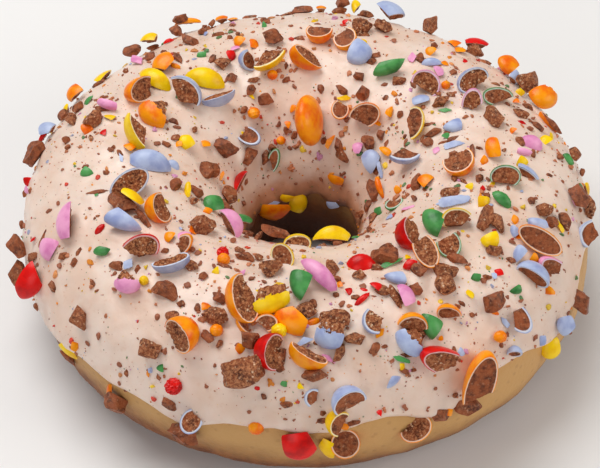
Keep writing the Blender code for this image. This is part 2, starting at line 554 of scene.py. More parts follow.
def brokenBody(size, radii, centre, breaks, seed, rough=0.03, peel=None):
    # a rounded body about centre, cut by the breaks (way, distance), seen from its own origin;
    # peel is (way, from where) and takes the coat off one end, with a ragged edge
    ways, faces, edges = ballTemplate(fineness(size) + (4 if peel else 0))
    radii, centre = np.asarray(radii, float), np.asarray(centre, float)

    def toBody(ways, radii):
        a = ((ways / radii) ** 2).sum(1)
        b = (ways * centre / radii ** 2).sum(1)
        c = ((centre / radii) ** 2).sum() - 1
        return (b + np.sqrt(np.maximum(b * b - a * c, 1e-9))) / a

    def depthOf(points):
        inner = (points - centre) / radii
        q = np.linalg.norm(inner, axis=1)
        return np.maximum((1 - q) * q / np.maximum(np.linalg.norm(inner / radii, axis=1), 1e-6), 0.0)

    def crumble(spot, index):
        fine = softNoise(spot, 0.75, seed + index + 50, 12)
        return 0.45 * softNoise(spot, 1.9, seed + index) + 0.55 * fine

    def distances(ways):
        rows = [toBody(ways, radii)]
        if peel:
            way, limit = peel
            spot = ways * rows[0][:, None]
            ragged = spot @ way + 0.16 * softNoise(spot, 1.3, seed + 7) + 0.10 * softNoise(spot, 0.55, seed + 8)
            core = toBody(ways, radii - sweet["coat"] - 0.05) * (1 + (0.02 + rough * 0.5) * crumble(spot, 30))
            rows[0] = np.where(ragged > limit, core, rows[0])
        for index, (way, distance) in enumerate(breaks):
            facing = ways @ way
            flat = distance / np.maximum(facing, 0.02)
            spot = ways * np.minimum(flat, 9.0)[:, None]
            inside = np.clip((depthOf(spot) - 0.24) / 0.14, 0, 1)  # the chocolate crumbles, the coat snaps clean
            lifted = distance + inside * (rough * crumble(spot, index) - 0.07)
            rows.append(np.where(facing > 0.02, np.maximum(lifted, distance * 0.35) / np.maximum(facing, 0.02), 1e3))
        return np.array(rows)

    reach = distances(ways)
    label = reach.argmin(0)
    # points near a crease are moved onto it, so that broken edges stay crisp
    first, second = edges[:, 0], edges[:, 1]
    mixed = label[first] != label[second]
    first, second = first[mixed], second[mixed]
    a, b = label[first], label[second]
    f0 = reach[a, first] - reach[b, first]
    f1 = reach[a, second] - reach[b, second]
    share = np.clip(f0 / np.where(np.abs(f0 - f1) < 1e-9, 1e-9, f0 - f1), 0, 1)
    mover, other = np.concatenate([first, second]), np.concatenate([second, first])
    part = np.concatenate([share, 1 - share])
    order = np.argsort(-part, kind="stable")
    order = order[part[order] < 0.5]
    mover, other, part = mover[order], other[order], part[order][:, None]
    moved = ways.copy()
    moved[mover] = ways[mover] * (1 - part) + ways[other] * part
    moved /= np.linalg.norm(moved, axis=1, keepdims=True)
    points = moved * distances(moved).min(0)[:, None]
    return points, faces, depthOf(points)


def unit(vector):
    vector = np.asarray(vector, float)
    return vector / np.linalg.norm(vector)


def halfSweet(long, short, side, share, rough, dice):
    # seen from its broken face: x along the face, y across it, z out of it. side is where the coat shows and
    # share how much of the outline still has its coat.
    a, b = long / 2, short / 2
    c = np.array([math.cos(side), math.sin(side), 0])
    extent = 1 / math.hypot(c[0] / a, c[1] / b)
    shift = (1 - share) * extent
    deep = 0.30 * short
    centre = -c * shift + np.array([0, 0, deep - 0.10 * a])
    radii = np.array([a, b, a]) * (1 + 0.25 * (1 - share))
    breaks = [(unit((dice.normal(0, 0.05), dice.normal(0, 0.05), 1)), deep)]
    breaks.append((unit((dice.normal(0, 0.4), dice.normal(0, 0.3), -1)), dice.uniform(0.55, 0.85) * a))
    if share < 0.95:
        count = 2 if share < 0.75 else 1
        for index in range(count):
            turn = side + math.pi + (0 if count == 1 else (index - 0.5) * dice.uniform(0.7, 1.3)) + dice.normal(0, 0.12)
            way = np.array([math.cos(turn), math.sin(turn), dice.normal(0.0, 0.15)])
            reach = 1 / math.hypot(way[0] / a, way[1] / b)
            breaks.append((unit(way), reach * (0.35 + 0.5 * share) * dice.uniform(0.9, 1.05)))
    return brokenBody(long, radii, centre, breaks, int(dice.integers(1e6)), rough)


def segmentSweet(long, short, side, dice, height=None, peelFrom=None, rough=0.06):
    # seen from its coat: the sweet's own rounded rim on one side, breaks on the others. z is out of the coat.
    height = height or min(2.4, 0.32 * long + 0.5)
    c = np.array([math.cos(side), math.sin(side), 0])
    extent = 1 / math.hypot(c[0] / (long / 2), c[1] / (short / 2))
    radius = max(0.62 * long, 0.55 * extent + 1.2)
    thick = max(0.56 * radius, height * 0.75)
    shift = radius - extent
    centre = -c * shift + np.array([0, 0, height * 0.5 - thick * math.sqrt(max(1 - min(shift / radius, 0.9) ** 2, 0.3))])
    breaks = [(unit((dice.normal(0, 0.15), dice.normal(0, 0.15), -1)), height / 2)]
    # the breaks lean in under the coat, so that only the coat shows from above
    for spread in ((-0.9, 0.9) if dice.random() < 0.5 else (-1.35, 0.1, 1.25)):
        turn = side + math.pi + spread + dice.normal(0, 0.15)
        reach = 1 / math.hypot(math.cos(turn) / (long / 2), math.sin(turn) / (short / 2))
        under = dice.uniform(0.25, 0.7)
        way = unit((math.cos(turn), math.sin(turn), -under))
        breaks.append((way, reach * dice.uniform(0.75, 0.95) / math.hypot(1, under)))
    peel = None if peelFrom is None else (-c, peelFrom * extent)
    return brokenBody(long, (radius, radius, thick), centre, breaks, int(dice.integers(1e6)), rough, peel)


def luneSweet(long, short, dice):
    # seen from its coat, with pointed ends: two breaks meet below the coat and leave a boat of the sweet's rim
    radius, crown = 0.577 * long, 0.29 * long
    below = 0.4 * crown
    centre = np.array([0.0, 0.0, -0.5 * radius - below])
    open = math.atan2(short / 2, crown * 0.8)
    breaks = []
    for side in (-1, 1):
        way = (dice.normal(0, 0.08), side * math.cos(open), -math.sin(open) + dice.normal(0, 0.06))
        breaks.append((unit(way), below * math.sin(open)))
    if dice.random() < 0.5:
        end = dice.choice([-1, 1])
        breaks.append((unit((end, dice.normal(0, 0.5), dice.normal(0, 0.2))), long * dice.uniform(0.36, 0.44)))
    return brokenBody(long, (radius, 0.72 * short, radius), centre, breaks, int(dice.integers(1e6)), 0.04)


def chunk(long, short, dice, rough=0.03):
    # an angular lump of chocolate
    sides = int(dice.integers(7, 10))
    spin = unit(dice.normal(size=3))
    other = unit(np.cross(spin, dice.normal(size=3)))
    axes = np.stack([other, np.cross(spin, other), spin])
    half = np.array([long / 2, short / 2, short * 0.40])
    breaks = []
    for side in range(sides):
        up = 1 - 2 * (side + 0.5) / sides
        turn = side * 2.4
        flat = math.sqrt(1 - up * up)
        way = np.array([flat * math.cos(turn), flat * math.sin(turn), up]) @ axes + dice.normal(0, 0.16, 3)
        way = unit(way / half)
        breaks.append((way, dice.uniform(0.68, 0.98) * float(np.linalg.norm(way * half))))
    points, faces, _ = brokenBody(long, half * 1.25, (0, 0, 0), breaks, int(dice.integers(1e6)), rough)
    return points, faces, np.full(len(points), 3.0)


def ballSweet(size, dice, rough=0.02):
    ways, faces, _ = ballTemplate(9 if size > 1.2 else 6)
    squash = np.array([1, dice.uniform(0.9, 1.0), dice.uniform(0.85, 1.0)])
    bumps = 1 + rough * softNoise(ways * size, size * 0.5, int(dice.integers(1e6))) + rough * softNoise(ways * size, size * 0.22, 5)
    points = ways * squash * (size / 2) * bumps[:, None]
    return points, faces, np.zeros(len(points))


def shellPiece(long, short, dice, lean=0.35, inside=0.2, thick=None, jag=0.12):
    # a bent flake of coat: lean 0 is from the flat of the sweet, 1 from its tight rim; z is out of the coat
    thick = thick or sweet["coat"] + 0.12
    rings, segments = (10, 56) if long > 3 else ((6, 32) if long > 1.5 else (3, 16))
    radii = np.array([sweet["radius"], sweet["radius"], sweet["halfThickness"]])
    tilt = lean * math.pi / 2
    middle = np.array([math.sin(tilt), 0, math.cos(tilt)])
    side, over = np.array([0, 1.0, 0]), np.array([math.cos(tilt), 0, -math.sin(tilt)])
    angle = np.linspace(0, 2 * math.pi, segments, endpoint=False)
    corners = int(dice.integers(4, 7))
    outline = np.full(segments, 9.0)
    start = dice.uniform(0, 2 * math.pi)
    for corner in range(corners):
        way = start + corner * 2 * math.pi / corners + dice.normal(0, 0.25)
        facing = np.cos(angle - way)
        outline = np.minimum(outline, np.where(facing > 0.1, dice.uniform(0.78, 1.0) / np.maximum(facing, 0.1), 9.0))
    outline = outline * (1 + jag * 0.5 * np.sin(angle * 9 + start) * dice.uniform(0.3, 1, segments) + dice.normal(0, jag * 0.18, segments))
    share = np.linspace(0, 1, rings + 1)[1:]
    u = (share[:, None] * (outline * np.cos(angle))[None, :]).ravel() * long / 2
    v = (share[:, None] * (outline * np.sin(angle))[None, :]).ravel() * short / 2
    u, v = np.concatenate([[0], u]), np.concatenate([[0], v])
    reach = 1 / np.linalg.norm(middle / radii)
    ways = middle[None, :] + (u[:, None] * side + v[:, None] * over) / reach
    ways /= np.linalg.norm(ways, axis=1, keepdims=True)
    outer = ways / np.linalg.norm(ways / radii, axis=1, keepdims=True)
    normals = outer / radii ** 2
    normals /= np.linalg.norm(normals, axis=1, keepdims=True)
    outer = outer + normals * (0.02 * softNoise(outer, 1.5, int(dice.integers(1e6))))[:, None]
    under = outer - normals * (thick * (1 + 0.15 * softNoise(outer, 1.2, int(dice.integers(1e6)))))[:, None]
    count = len(outer)
    fan = [[0, 1 + k, 1 + (k + 1) % segments] for k in range(segments)]
    quads = 1 + gridFaces(rings, segments)
    top = np.concatenate([fan, quads[:, [0, 3, 2]], quads[:, [0, 2, 1]]])
    bottom = top[:, ::-1] + count
    last = 1 + (rings - 1) * segments + np.arange(segments)
    nextLast = np.roll(last, -1)
    rim = np.concatenate([
        np.stack([last, last + count, nextLast + count], -1),
        np.stack([last, nextLast + count, nextLast], -1),
    ])
    points = np.concatenate([outer, under])
    faces = np.concatenate([top, bottom, rim])
    up = normals[0]
    across = unit(side - up * (side @ up))
    points = (points - outer[0]) @ np.stack([across, np.cross(up, across), up], -1)
    depth = np.concatenate([np.zeros(count), np.full(count, inside)])
    a, b, c = points[faces[:, 0]], points[faces[:, 1]], points[faces[:, 2]]
    if np.einsum("ij,ij->i", np.cross(a, b), c).sum() < 0:
        faces = faces[:, ::-1]
    return points, faces, depth


# Pieces are laid out in slanted axes: right, up the slope towards the back, and out towards the front and top.
slantRight = np.array([1.0, 0.0, 0.0])
slantUp = np.array([0.0, math.sin(math.radians(44)), math.cos(math.radians(44))])
slantOut = np.array([0.0, -math.cos(math.radians(44)), math.sin(math.radians(44))])


def turned(way, turn):
    # axes whose z is way and whose x lies at the turn, measured in the slanted plane
    z = unit(way)
    x = math.cos(math.radians(turn)) * slantRight + math.sin(math.radians(turn)) * slantUp
    x = unit(x - z * (x @ z))
    return np.stack([x, np.cross(z, x), z], -1)


bedList = []


def rest(parts, ringAngle, tubeAngle, body, axes, size=None, turn=0.0, sink=0.3, lift=0.0, slanted=True, grain=0.5):
    # sets a body down on the icing; size = (long, short) makes it exactly that big in the slanted plane
    points, faces, depth = body
    placed = points @ axes.T
    if size:
        long = math.cos(math.radians(turn)) * slantRight + math.sin(math.radians(turn)) * slantUp
        wide = -math.sin(math.radians(turn)) * slantRight + math.cos(math.radians(turn)) * slantUp
        for way, wanted in ((long, size[0]), (wide, size[1])):
            along = placed @ way
            factor = np.clip(wanted / max(np.ptp(along), 1e-6), 0.55, 1.8)
            placed = placed + np.outer(along * (factor - 1), way)
        for way in (slantRight, slantUp):
            along = placed @ way
            placed = placed - way * (along.max() + along.min()) / 2
    around, tube = np.array([math.radians(ringAngle)]), np.array([math.radians(tubeAngle)])
    spot, normal = icingPoint(around, tube)[0], normalAt(doughPoint, around, tube)[0]
    facing = np.clip((normal @ slantOut - 0.12) / 0.4, 0, 1) if slanted else 0.0
    way = unit(normal * (1 - facing) + slantOut * facing)
    rise = -(placed @ normal).min() - sink + lift
    placed = placed + spot + way * (rise / (way @ normal))
    parts.append((placed, faces, depth, np.full(len(placed), grain)))
    middle = placed.mean(0)
    foot = np.linalg.norm(placed - middle, axis=1).max()
    bedList.append((spot + (middle - spot) - normal * ((middle - spot) @ normal), foot * 0.8, foot, middle))


def joined(name, parts, material, **extra):
    points = np.concatenate([part[0] for part in parts])
    starts = np.cumsum([0] + [len(part[0]) for part in parts[:-1]])
    faces = np.concatenate([part[1] + start for part, start in zip(parts, starts)])
    depth = np.concatenate([part[2] for part in parts])
    grain = np.concatenate([part[3] for part in parts])
    piece = finishMesh(name, points, faces, material, sharpFrom=34, depth=depth, grain=grain, **extra)
    print(name, "made:", len(parts), "parts,", len(faces), "triangles")
    return piece


def outWay(ringAngle, tubeAngle, toFront=0.8):
    # between straight off the icing and out to the front; low down, where the slope falls away, nearly to the front
    normal = normalAt(doughPoint, np.array([math.radians(ringAngle)]), np.array([math.radians(tubeAngle)]))[0]
    low = np.clip((20 - tubeAngle) / 20, 0, 1) if normal @ slantOut > 0.2 else 0.0
    return unit(normal + (toFront + 2.5 * low) * slantOut)


def tipped(coatSide, tip):
    # a broken face that looks out to the front, tipped away from the side where the coat shows
    side, amount = math.radians(coatSide), math.radians(tip)
    away = math.cos(side) * slantRight + math.sin(side) * slantUp
    return math.cos(amount) * slantOut - math.sin(amount) * away


def laySweets(kind):
    # ring, tube, long, short and turn for all; then
    # halves (their broken face shows): side where the coat shows, tip away from it, share of the outline with coat,
    # and how crumbly the face is
    # segments and cups (their coat shows): side of the rounded rim, lift; cups are peeled from the peel place on
    # lunes (pointed boats of rim): lift. shells: lift and how tightly they bend
    dice = np.random.default_rng(kind["seed"])
    parts = []
    for ringAngle, tubeAngle, long, short, turn, side, tip, share, grain in kind.get("halves", ()):
        body = halfSweet(long, short, math.radians(side - turn), share, 0.03 + 0.09 * grain, dice)
        axes = turned(tipped(side, tip), turn)
        rest(parts, ringAngle, tubeAngle, body, axes, (long, short), turn, sink=0.5, grain=grain)
    for ringAngle, tubeAngle, long, short, turn, side, lift in kind.get("segments", ()):
        body = segmentSweet(long, short, math.radians(side - turn), dice)
        axes = turned(outWay(ringAngle, tubeAngle), turn)
        rest(parts, ringAngle, tubeAngle, body, axes, (long, short), turn, lift=lift)
    for ringAngle, tubeAngle, long, short, turn, side, lift, peel in kind.get("cups", ()):
        body = segmentSweet(long, short, math.radians(side - turn), dice, 0.6 * short, peel, 0.09)
        axes = turned(outWay(ringAngle, tubeAngle), turn)
        rest(parts, ringAngle, tubeAngle, body, axes, (long, short), turn, lift=lift, grain=1.0)
    for ringAngle, tubeAngle, long, short, turn, lift in kind.get("lunes", ()):
        body = luneSweet(long, short, dice)
        axes = turned(outWay(ringAngle, tubeAngle), turn)
        rest(parts, ringAngle, tubeAngle, body, axes, (long, short), turn, lift=lift)
    for ringAngle, tubeAngle, long, short, turn, lift, lean in kind.get("shells", ()):
        body = shellPiece(long, short, dice, lean)
        rest(parts, ringAngle, tubeAngle, body, turned(outWay(ringAngle, tubeAngle), turn), (long, short), turn, lift=lift)
    for ringAngle, tubeAngle, size in kind.get("balls", ()):
        body = ballSweet(size, dice, kind.get("ballRough", 0.02))
        rest(parts, ringAngle, tubeAngle, body, np.eye(3), sink=0.25)
    for ringAngle, tubeAngle, size in kind.get("bits", ()):
        turn = dice.uniform(0, 360)
        body = segmentSweet(size, size * dice.uniform(0.5, 0.8), dice.uniform(0, 6), dice, height=size * 0.45)
        rest(parts, ringAngle, tubeAngle, body, turned(outWay(ringAngle, tubeAngle), turn), sink=0.15)
    return parts


orange = {
    "coat": (255, 160, 2),
    "deep": (240, 98, 2),
    "seed": 11,
    "halves": [
        (240.3, 80, 5.0, 4.0, 20, 175, 50, 0.9, 0.7),
        (176, 84.8, 4.4, 3.4, 15, 268, 42, 0.75, 0.1),
        (167.5, 86.5, 3.9, 3.7, 25, 300, 40, 0.85, 0.1),
        (180.5, 101, 5.8, 3.6, -15, 215, 60, 0.9, 0.6),
        (160.7, 124.5, 3.0, 2.9, 80, 250, 8, 0.9, 0.15),
        (146.3, 123.3, 5.0, 4.0, 22, 60, 14, 0.8, 0.3),
        (299, 97, 4.5, 4.2, 80, 190, 60, 0.9, 0.7),
        (318.5, 92.5, 3.0, 2.4, 45, 20, 20, 0.7, 0.5),
        (343, 77.5, 7.2, 4.6, 100, 200, 38, 0.9, 1),
        (333.3, 50, 5.4, 4.4, -60, 25, 52, 0.85, 1),
        (350.5, 66, 3.2, 2.6, 10, 40, 14, 0.8, 0.5),
        (345.3, 62.5, 3.0, 1.7, -50, 220, 30, 0.7, 0.3),
        (0, 50.5, 5.9, 2.9, -28, 240, 50, 0.85, 1),
        (23.7, 59.5, 4.2, 3.1, 12, 90, 26, 0.7, 0.7),
        (33.6, 17.5, 8.4, 4.4, 77, 105, 26, 0.8, 0),
        (64.5, 54.5, 7.2, 3.5, -30, 60, 9, 0.95, 0.1),
        (86, 103.5, 4.9, 4.4, 50, 300, 42, 0.75, 0.5),
        (7, -7, 4.3, 4.2, 35, 300, 5, 0.95, 0.3),
        (107.5, 43, 4.4, 1.5, -45, 225, 50, 0.8, 0.1),
        (38.5, 91, 4.7, 3.4, -62, 300, 10, 0.85, 0.9),
        (20.8, -6.5, 4.9, 3.5, 30, 310, 10, 0.85, 0.8),
        (32.8, 57.8, 3.6, 2.5, -20, 90, 32, 0.8, 0.4),
    ],
    "segments": [
        (243, 40, 3.1, 2.8, 80, 200, 1.0),
        (225.4, 74.3, 3.6, 3.2, 70, 150, 0.1),
        (224.5, 82, 1.7, 0.9, -20, 250, 0),
        (126.5, 46, 3.2, 3.1, -50, 200, 0.8),
        (92.2, 87.8, 3.3, 2.4, -70, 180, 0.1),
        (201, 48, 2.2, 1.4, 28, 90, 0.5),
        (198.5, 50, 1.8, 0.8, 10, 90, 0.2),
        (27.5, 2, 2.8, 1.4, -72, 0, 0.3),
        (78.5, 116.8, 2.4, 1.9, 35, 90, 0.1),
        (213.8, 170, 5.6, 2.8, 5, 200, 0.2),
        (356, 68.5, 4.9, 3.8, -25, 215, 0.1),
        (312.6, 90.5, 1.9, 1.4, 40, 200, 0),
        (268, 91.5, 2.3, 1.3, 5, 90, 0.1),
        (247.3, 122.5, 1.7, 1.2, -30, 90, 0),
        (135, 117.3, 1.8, 1.0, 75, 0, 0.1),
        (121, 131.5, 2.0, 1.3, -35, 90, 0.1),
        (140.5, 54, 2.4, 1.3, 0, 90, 0.1),
        (137.5, 58, 1.8, 1.1, 10, 90, 0),
        (318.8, -8, 1.9, 1.0, 75, 180, 0.6),
        (187.3, 125.5, 1.5, 1.1, 60, 180, 0),
        (151.5, 153, 2.8, 1.4, -25, 250, 0.1),
        (176.5, 45, 1.8, 1.2, 0, 90, 0.5),
        (301.5, 121, 1.5, 1.2, 0, 250, 0),
    ],
    "lunes": [
        (98.5, 141.5, 3.7, 1.3, -62, 0.3),
        (1.2, 68, 2.5, 1.1, 20, 0),
        (209, 46, 4.5, 1.4, -4, 1.5),
        (287.5, -3, 2.8, 1.2, -18, 0.6),
        (41.8, 46.5, 2.4, 0.8, -25, 0.1),
    ],
    "cups": [
        (114.5, 42, 4.5, 4.0, 20, 240, 0.8, 0.75),
        (248.8, 95, 5.2, 4.6, -40, 220, 0.1, 0.5),
    ],
    "shells": [
        (162.8, 138.5, 2.6, 1.0, 60, 0.2, 0.3),
        (205.5, 68, 1.6, 0.6, 10, 0, 0.3),
        (15.8, 58, 1.8, 0.9, 50, 0, 0.3),
        (257.5, 136, 1.7, 0.7, 65, 0, 0.3),
    ],
    "balls": [
        (195, 108.5, 1.7), (210.2, 123.5, 2.0), (332, 95.2, 1.9), (350.5, 6.5, 2.2), (40.8, 32, 1.9), (339.8, 57.5, 1.9),
        (198.3, 138, 1.5), (126.2, 90.5, 1.5),
    ],
    "bits": [
        (258.7, 65.5, 1.7), (201.8, 81.5, 1.8), (197.5, 87.5, 1.8), (310.7, 9.5, 1.5), (335.5, 67.5, 1.4), (346, 51, 1.4),
        (86, 91.5, 1.5), (59, 51, 1.4), (57, 33.5, 1.4), (4.8, 18.5, 1.2), (6.5, 9.5, 1.4), (134.5, 78, 1.2),
        (315.5, 101.5, 1.6), (192, 131, 1.1), (136.5, 123.5, 1.1), (141.5, 76, 1.5), (62, 65, 1.2), (36, 84, 1.0),
        (9, 88, 1.0), (66, 70, 1.3), (82, 131, 1.2), (259, 112, 1.1), (100, 75, 1.1), (113, 62, 1.0), (28, 46, 0.8),
    ],
}

yellow = {
    "coat": (255, 216, 8),
    "deep": (238, 182, 4),
    "seed": 22,
    "halves": [
        (260.8, 92.5, 6.0, 3.3, -60, 200, 45, 0.7, 0.7),
        (194.6, 101.5, 5.8, 3.0, 33, 305, 22, 0.6, 0.8),
        (118.3, 114.3, 5.2, 3.0, 70, 350, 16, 0.7, 0.3),
        (57.5, 95, 4.1, 3.3, -15, 110, 8, 0.7, 0.5),
        (350.5, 105.5, 4.0, 3.1, -60, 45, 12, 0.8, 0.5),
        (5.2, 12.5, 3.8, 3.0, 55, 150, 40, 0.75, 0.3),
        (354.5, 123, 4.2, 2.6, 5, 80, 15, 0.85, 1),
    ],
    "segments": [
        (219.5, 45, 3.0, 1.7, 5, 90, 1.6),
        (255.2, 115.2, 2.7, 2.4, -25, 200, 0.1),
        (235, 43, 3.3, 1.3, 38, 90, 0.3),
        (55.5, 75.5, 2.8, 2.3, 25, 250, 0.6),
        (54.5, -4, 3.6, 3.2, 70, 250, 0.1),
        (306.5, -4, 3.8, 1.6, -42, 250, 0.4),
        (3.5, -10, 3.3, 2.2, -65, 250, 0.3),
        (189, 168, 3.4, 3.0, 60, 0, 0.2),
        (200, 163, 2.5, 1.3, 10, 200, 0.2),
        (168.3, 44, 2.4, 1.7, 95, 180, 0.8),
        (287.5, 116.5, 2.5, 1.1, 88, 180, 0),
        (254.3, 76, 2.0, 0.9, -10, 90, 0),
        (291.5, 89.5, 3.8, 1.6, -45, 60, 1.0),
        (247, 37, 1.5, 1.1, 60, 180, 0.5),
        (91, 24, 1.9, 1.2, 80, 0, 0.4),
    ],
    "lunes": [
        (221.4, 98.5, 6.6, 3.3, -10, 0),
        (233.5, 82, 5.9, 3.0, -42, 0),
        (14.5, 128, 5.8, 2.6, 5, 0.9),
    ],
    "cups": [(350.5, 79, 6.0, 4.2, 30, 285, 0.2, 0.2)],
    "shells": [
        (72, 46.5, 2.3, 0.8, -55, 0.2, 0.3),
        (160.6, 119, 2.4, 0.9, 5, 0.1, 0.4),
        (222, 131, 1.9, 0.7, -60, 0.3, 0.3),
        (207.5, 115.5, 1.6, 0.6, -50, 0.1, 0.3),
        (352, 87, 1.7, 0.8, -5, 0.3, 0.3),
    ],
    "balls": [(353.5, 62.5, 2.2), (318, 65.3, 1.4), (9.9, 58.5, 1.1)],
    "bits": [
        (39.8, 60.3, 1.4), (101, 48.5, 1.7), (97.8, 56.5, 1.8), (67.3, 87.5, 1.8), (87.5, 73, 1.6), (117.5, 51.5, 1.3),
        (358.3, 34.5, 0.9), (177.8, 71.5, 0.9), (347, 82, 0.8), (63, 63, 0.9), (72, 96, 1.1), (19, 38.3, 1.2),
        (33.5, 93.5, 0.9), (333, 86, 1.0), (76, 87, 0.8), (161, 86, 1.0),
    ],
}

blue = {
    "coat": (182, 196, 228),
    "deep": (146, 160, 206),
    "seed": 33,
    "halves": [
        (231.5, 99.5, 6.2, 4.0, -35, 50, 16, 0.7, 0.8),
        (223, 111, 5.6, 2.3, 24, 285, 52, 0.9, 0.6),
        (202.8, 97, 3.3, 2.9, 80, 180, 35, 0.65, 0.3),
        (284.7, 90.5, 6.6, 3.9, 35, 80, 8, 0.9, 1),
        (320, 81, 5.7, 2.5, 15, 285, 42, 0.9, 1),
        (7.5, 26.3, 4.9, 4.4, 60, 125, 42, 0.75, 0.2),
        (105, 126, 4.8, 2.5, -3, 268, 20, 0.55, 0.2),
        (47, 32.5, 3.7, 3.1, -50, 330, 12, 0.65, 0.1),
        (338.5, 4, 3.4, 3.1, 60, 220, 14, 0.85, 0.6),
        (84, 70.5, 3.9, 2.0, -38, 60, 34, 0.65, 0.1),
        (56, 46.5, 5.4, 2.9, -33, 60, 50, 0.9, 0.1),
        (15, 65.2, 3.8, 3.2, -55, 215, 20, 0.6, 1),
        (124, 77, 5.4, 3.6, 25, 120, 12, 0.8, 1),
        (42.7, 19.5, 2.3, 1.8, 10, 90, 60, 0.9, 0.2),
        (0.6, 28.5, 2.5, 2.1, -85, 150, 8, 0.7, 0.1),
        (218.5, 132, 3.5, 2.8, -30, 310, 16, 0.75, 0.2),
        (77.5, 24.5, 4.3, 3.2, 85, 170, 12, 0.55, 0.05),
    ],
    "segments": [
        (159.5, 50, 5.2, 3.2, -18, 30, 0.9),
        (161, 94, 4.4, 3.9, 72, 290, 0),
        (107.5, 101.5, 3.0, 2.2, 5, 250, 0),
        (126.5, 105, 2.8, 1.6, 5, 90, 0),
        (68.8, 59, 3.3, 1.9, -22, 180, 0.2),
        (62.5, 67.3, 1.9, 1.5, -80, 180, 0),
        (57.6, 58.8, 2.7, 1.9, 72, 180, 0.2),
        (254, 34, 2.7, 2.5, 60, 90, 0.7),
        (58, 6, 3.2, 2.8, 80, 200, 0.2),
        (50, 13, 1.7, 1.3, 70, 180, 0),
        (16.5, 31.5, 2.5, 1.3, 42, 300, 0),
        (123.3, 46, 2.4, 1.8, 60, 0, 0.2),
        (126.5, 139, 3.9, 3.0, 105, 90, 0.3),
        (151, 165, 2.2, 1.1, -5, 200, 0.1),
        (25, 84.5, 3.3, 1.9, -15, 230, 0.1),
        (298.7, 80, 5.8, 3.0, -20, 265, 0.2),
    ],
    "lunes": [
        (273.5, 101, 6.6, 3.3, -8, 0),
        (273, 111, 2.4, 1.6, -15, 0.1),
        (137.8, 82.8, 3.3, 1.4, -5, 0.2),
    ],
    "cups": [
        (4.8, 61.5, 4.6, 4.5, 10, 255, 0.3, 0.1),
        (21.3, 50, 4.6, 3.6, -45, 225, 0.1, 0.65),
    ],
    "shells": [
        (115, 138.5, 2.8, 0.8, -72, 0.3, 0.4),
        (64.5, 100, 5.4, 1.7, 12, 0.2, 0.5),
        (359.4, 58, 2.3, 1.1, 32, 0.8, 0.2),
        (311.5, 67, 2.0, 1.5, 55, 0.5, 0.4),
        (218, 163, 2.2, 0.9, 10, 0.1, 0.3),
        (96.5, 104, 3.4, 1.2, 18, 0.1, 0.3),
        (43.3, 37, 1.9, 0.9, -50, 0.1, 0.3),
        (272.5, 87.5, 1.7, 0.6, -75, 0.1, 0.3),
    ],
    "bits": [(55, 128, 1.3), (31, 36.5, 1.2), (329.3, 26, 0.9), (48, 61, 1.0), (207.5, 60, 0.8)],
}

pink = {
    "coat": (242, 168, 208),
    "deep": (214, 122, 178),
    "seed": 44,
    "halves": [
        (131.8, 96.8, 4.8, 3.5, -40, 50, 12, 0.75, 0.9),
        (61.3, 41.5, 3.8, 2.9, -35, 130, 30, 0.7, 0.1),
        (116, 86.5, 3.4, 3.2, 80, 90, 10, 0.7, 1),
        (320.5, 118, 4.9, 2.9, -58, 25, 62, 0.85, 0.1),
    ],
    "segments": [
        (248.8, 70.5, 3.4, 1.5, -18, 250, 0.3),
        (291.5, 36, 3.5, 3.4, 30, 200, 0),
        (25.3, 74, 3.2, 2.1, -75, 60, 0.4),
        (141, 136.8, 2.0, 1.6, 60, 90, 0.1),
        (133.5, 85.5, 2.0, 1.4, -60, 90, 0.2),
        (91.5, 71.5, 2.4, 1.2, -5, 250, 0),
        (315.5, 96, 2.1, 1.3, 5, 90, 0.2),
        (288.3, 52.5, 5.5, 2.7, 97, 180, 0),
    ],
    "lunes": [
        (3.3, 93.5, 6.6, 2.5, -50, 0.3),
        (95.5, 66.5, 3.8, 2.3, -15, 0.2),
    ],
    "cups": [(315, 60, 3.9, 3.3, -12, 265, 0.1, 0.45)],
    "shells": [
        (228, 57.5, 2.4, 1.6, -40, 0.3, 0.4),
        (143.8, 86.5, 1.8, 1.3, 70, 0.2, 0.3),
        (60.5, 120, 2.2, 0.7, 8, 0.1, 0.3),
        (4.2, 48.5, 2.4, 0.8, -35, 0.2, 0.3),
    ],
    "bits": [
        (203.7, 86, 1.6), (97.5, 112, 1.6), (270, 25, 1.0), (83, 37, 1.4), (262, 108, 0.9), (253, 51, 1.1), (340, 90, 0.8),
    ],
}

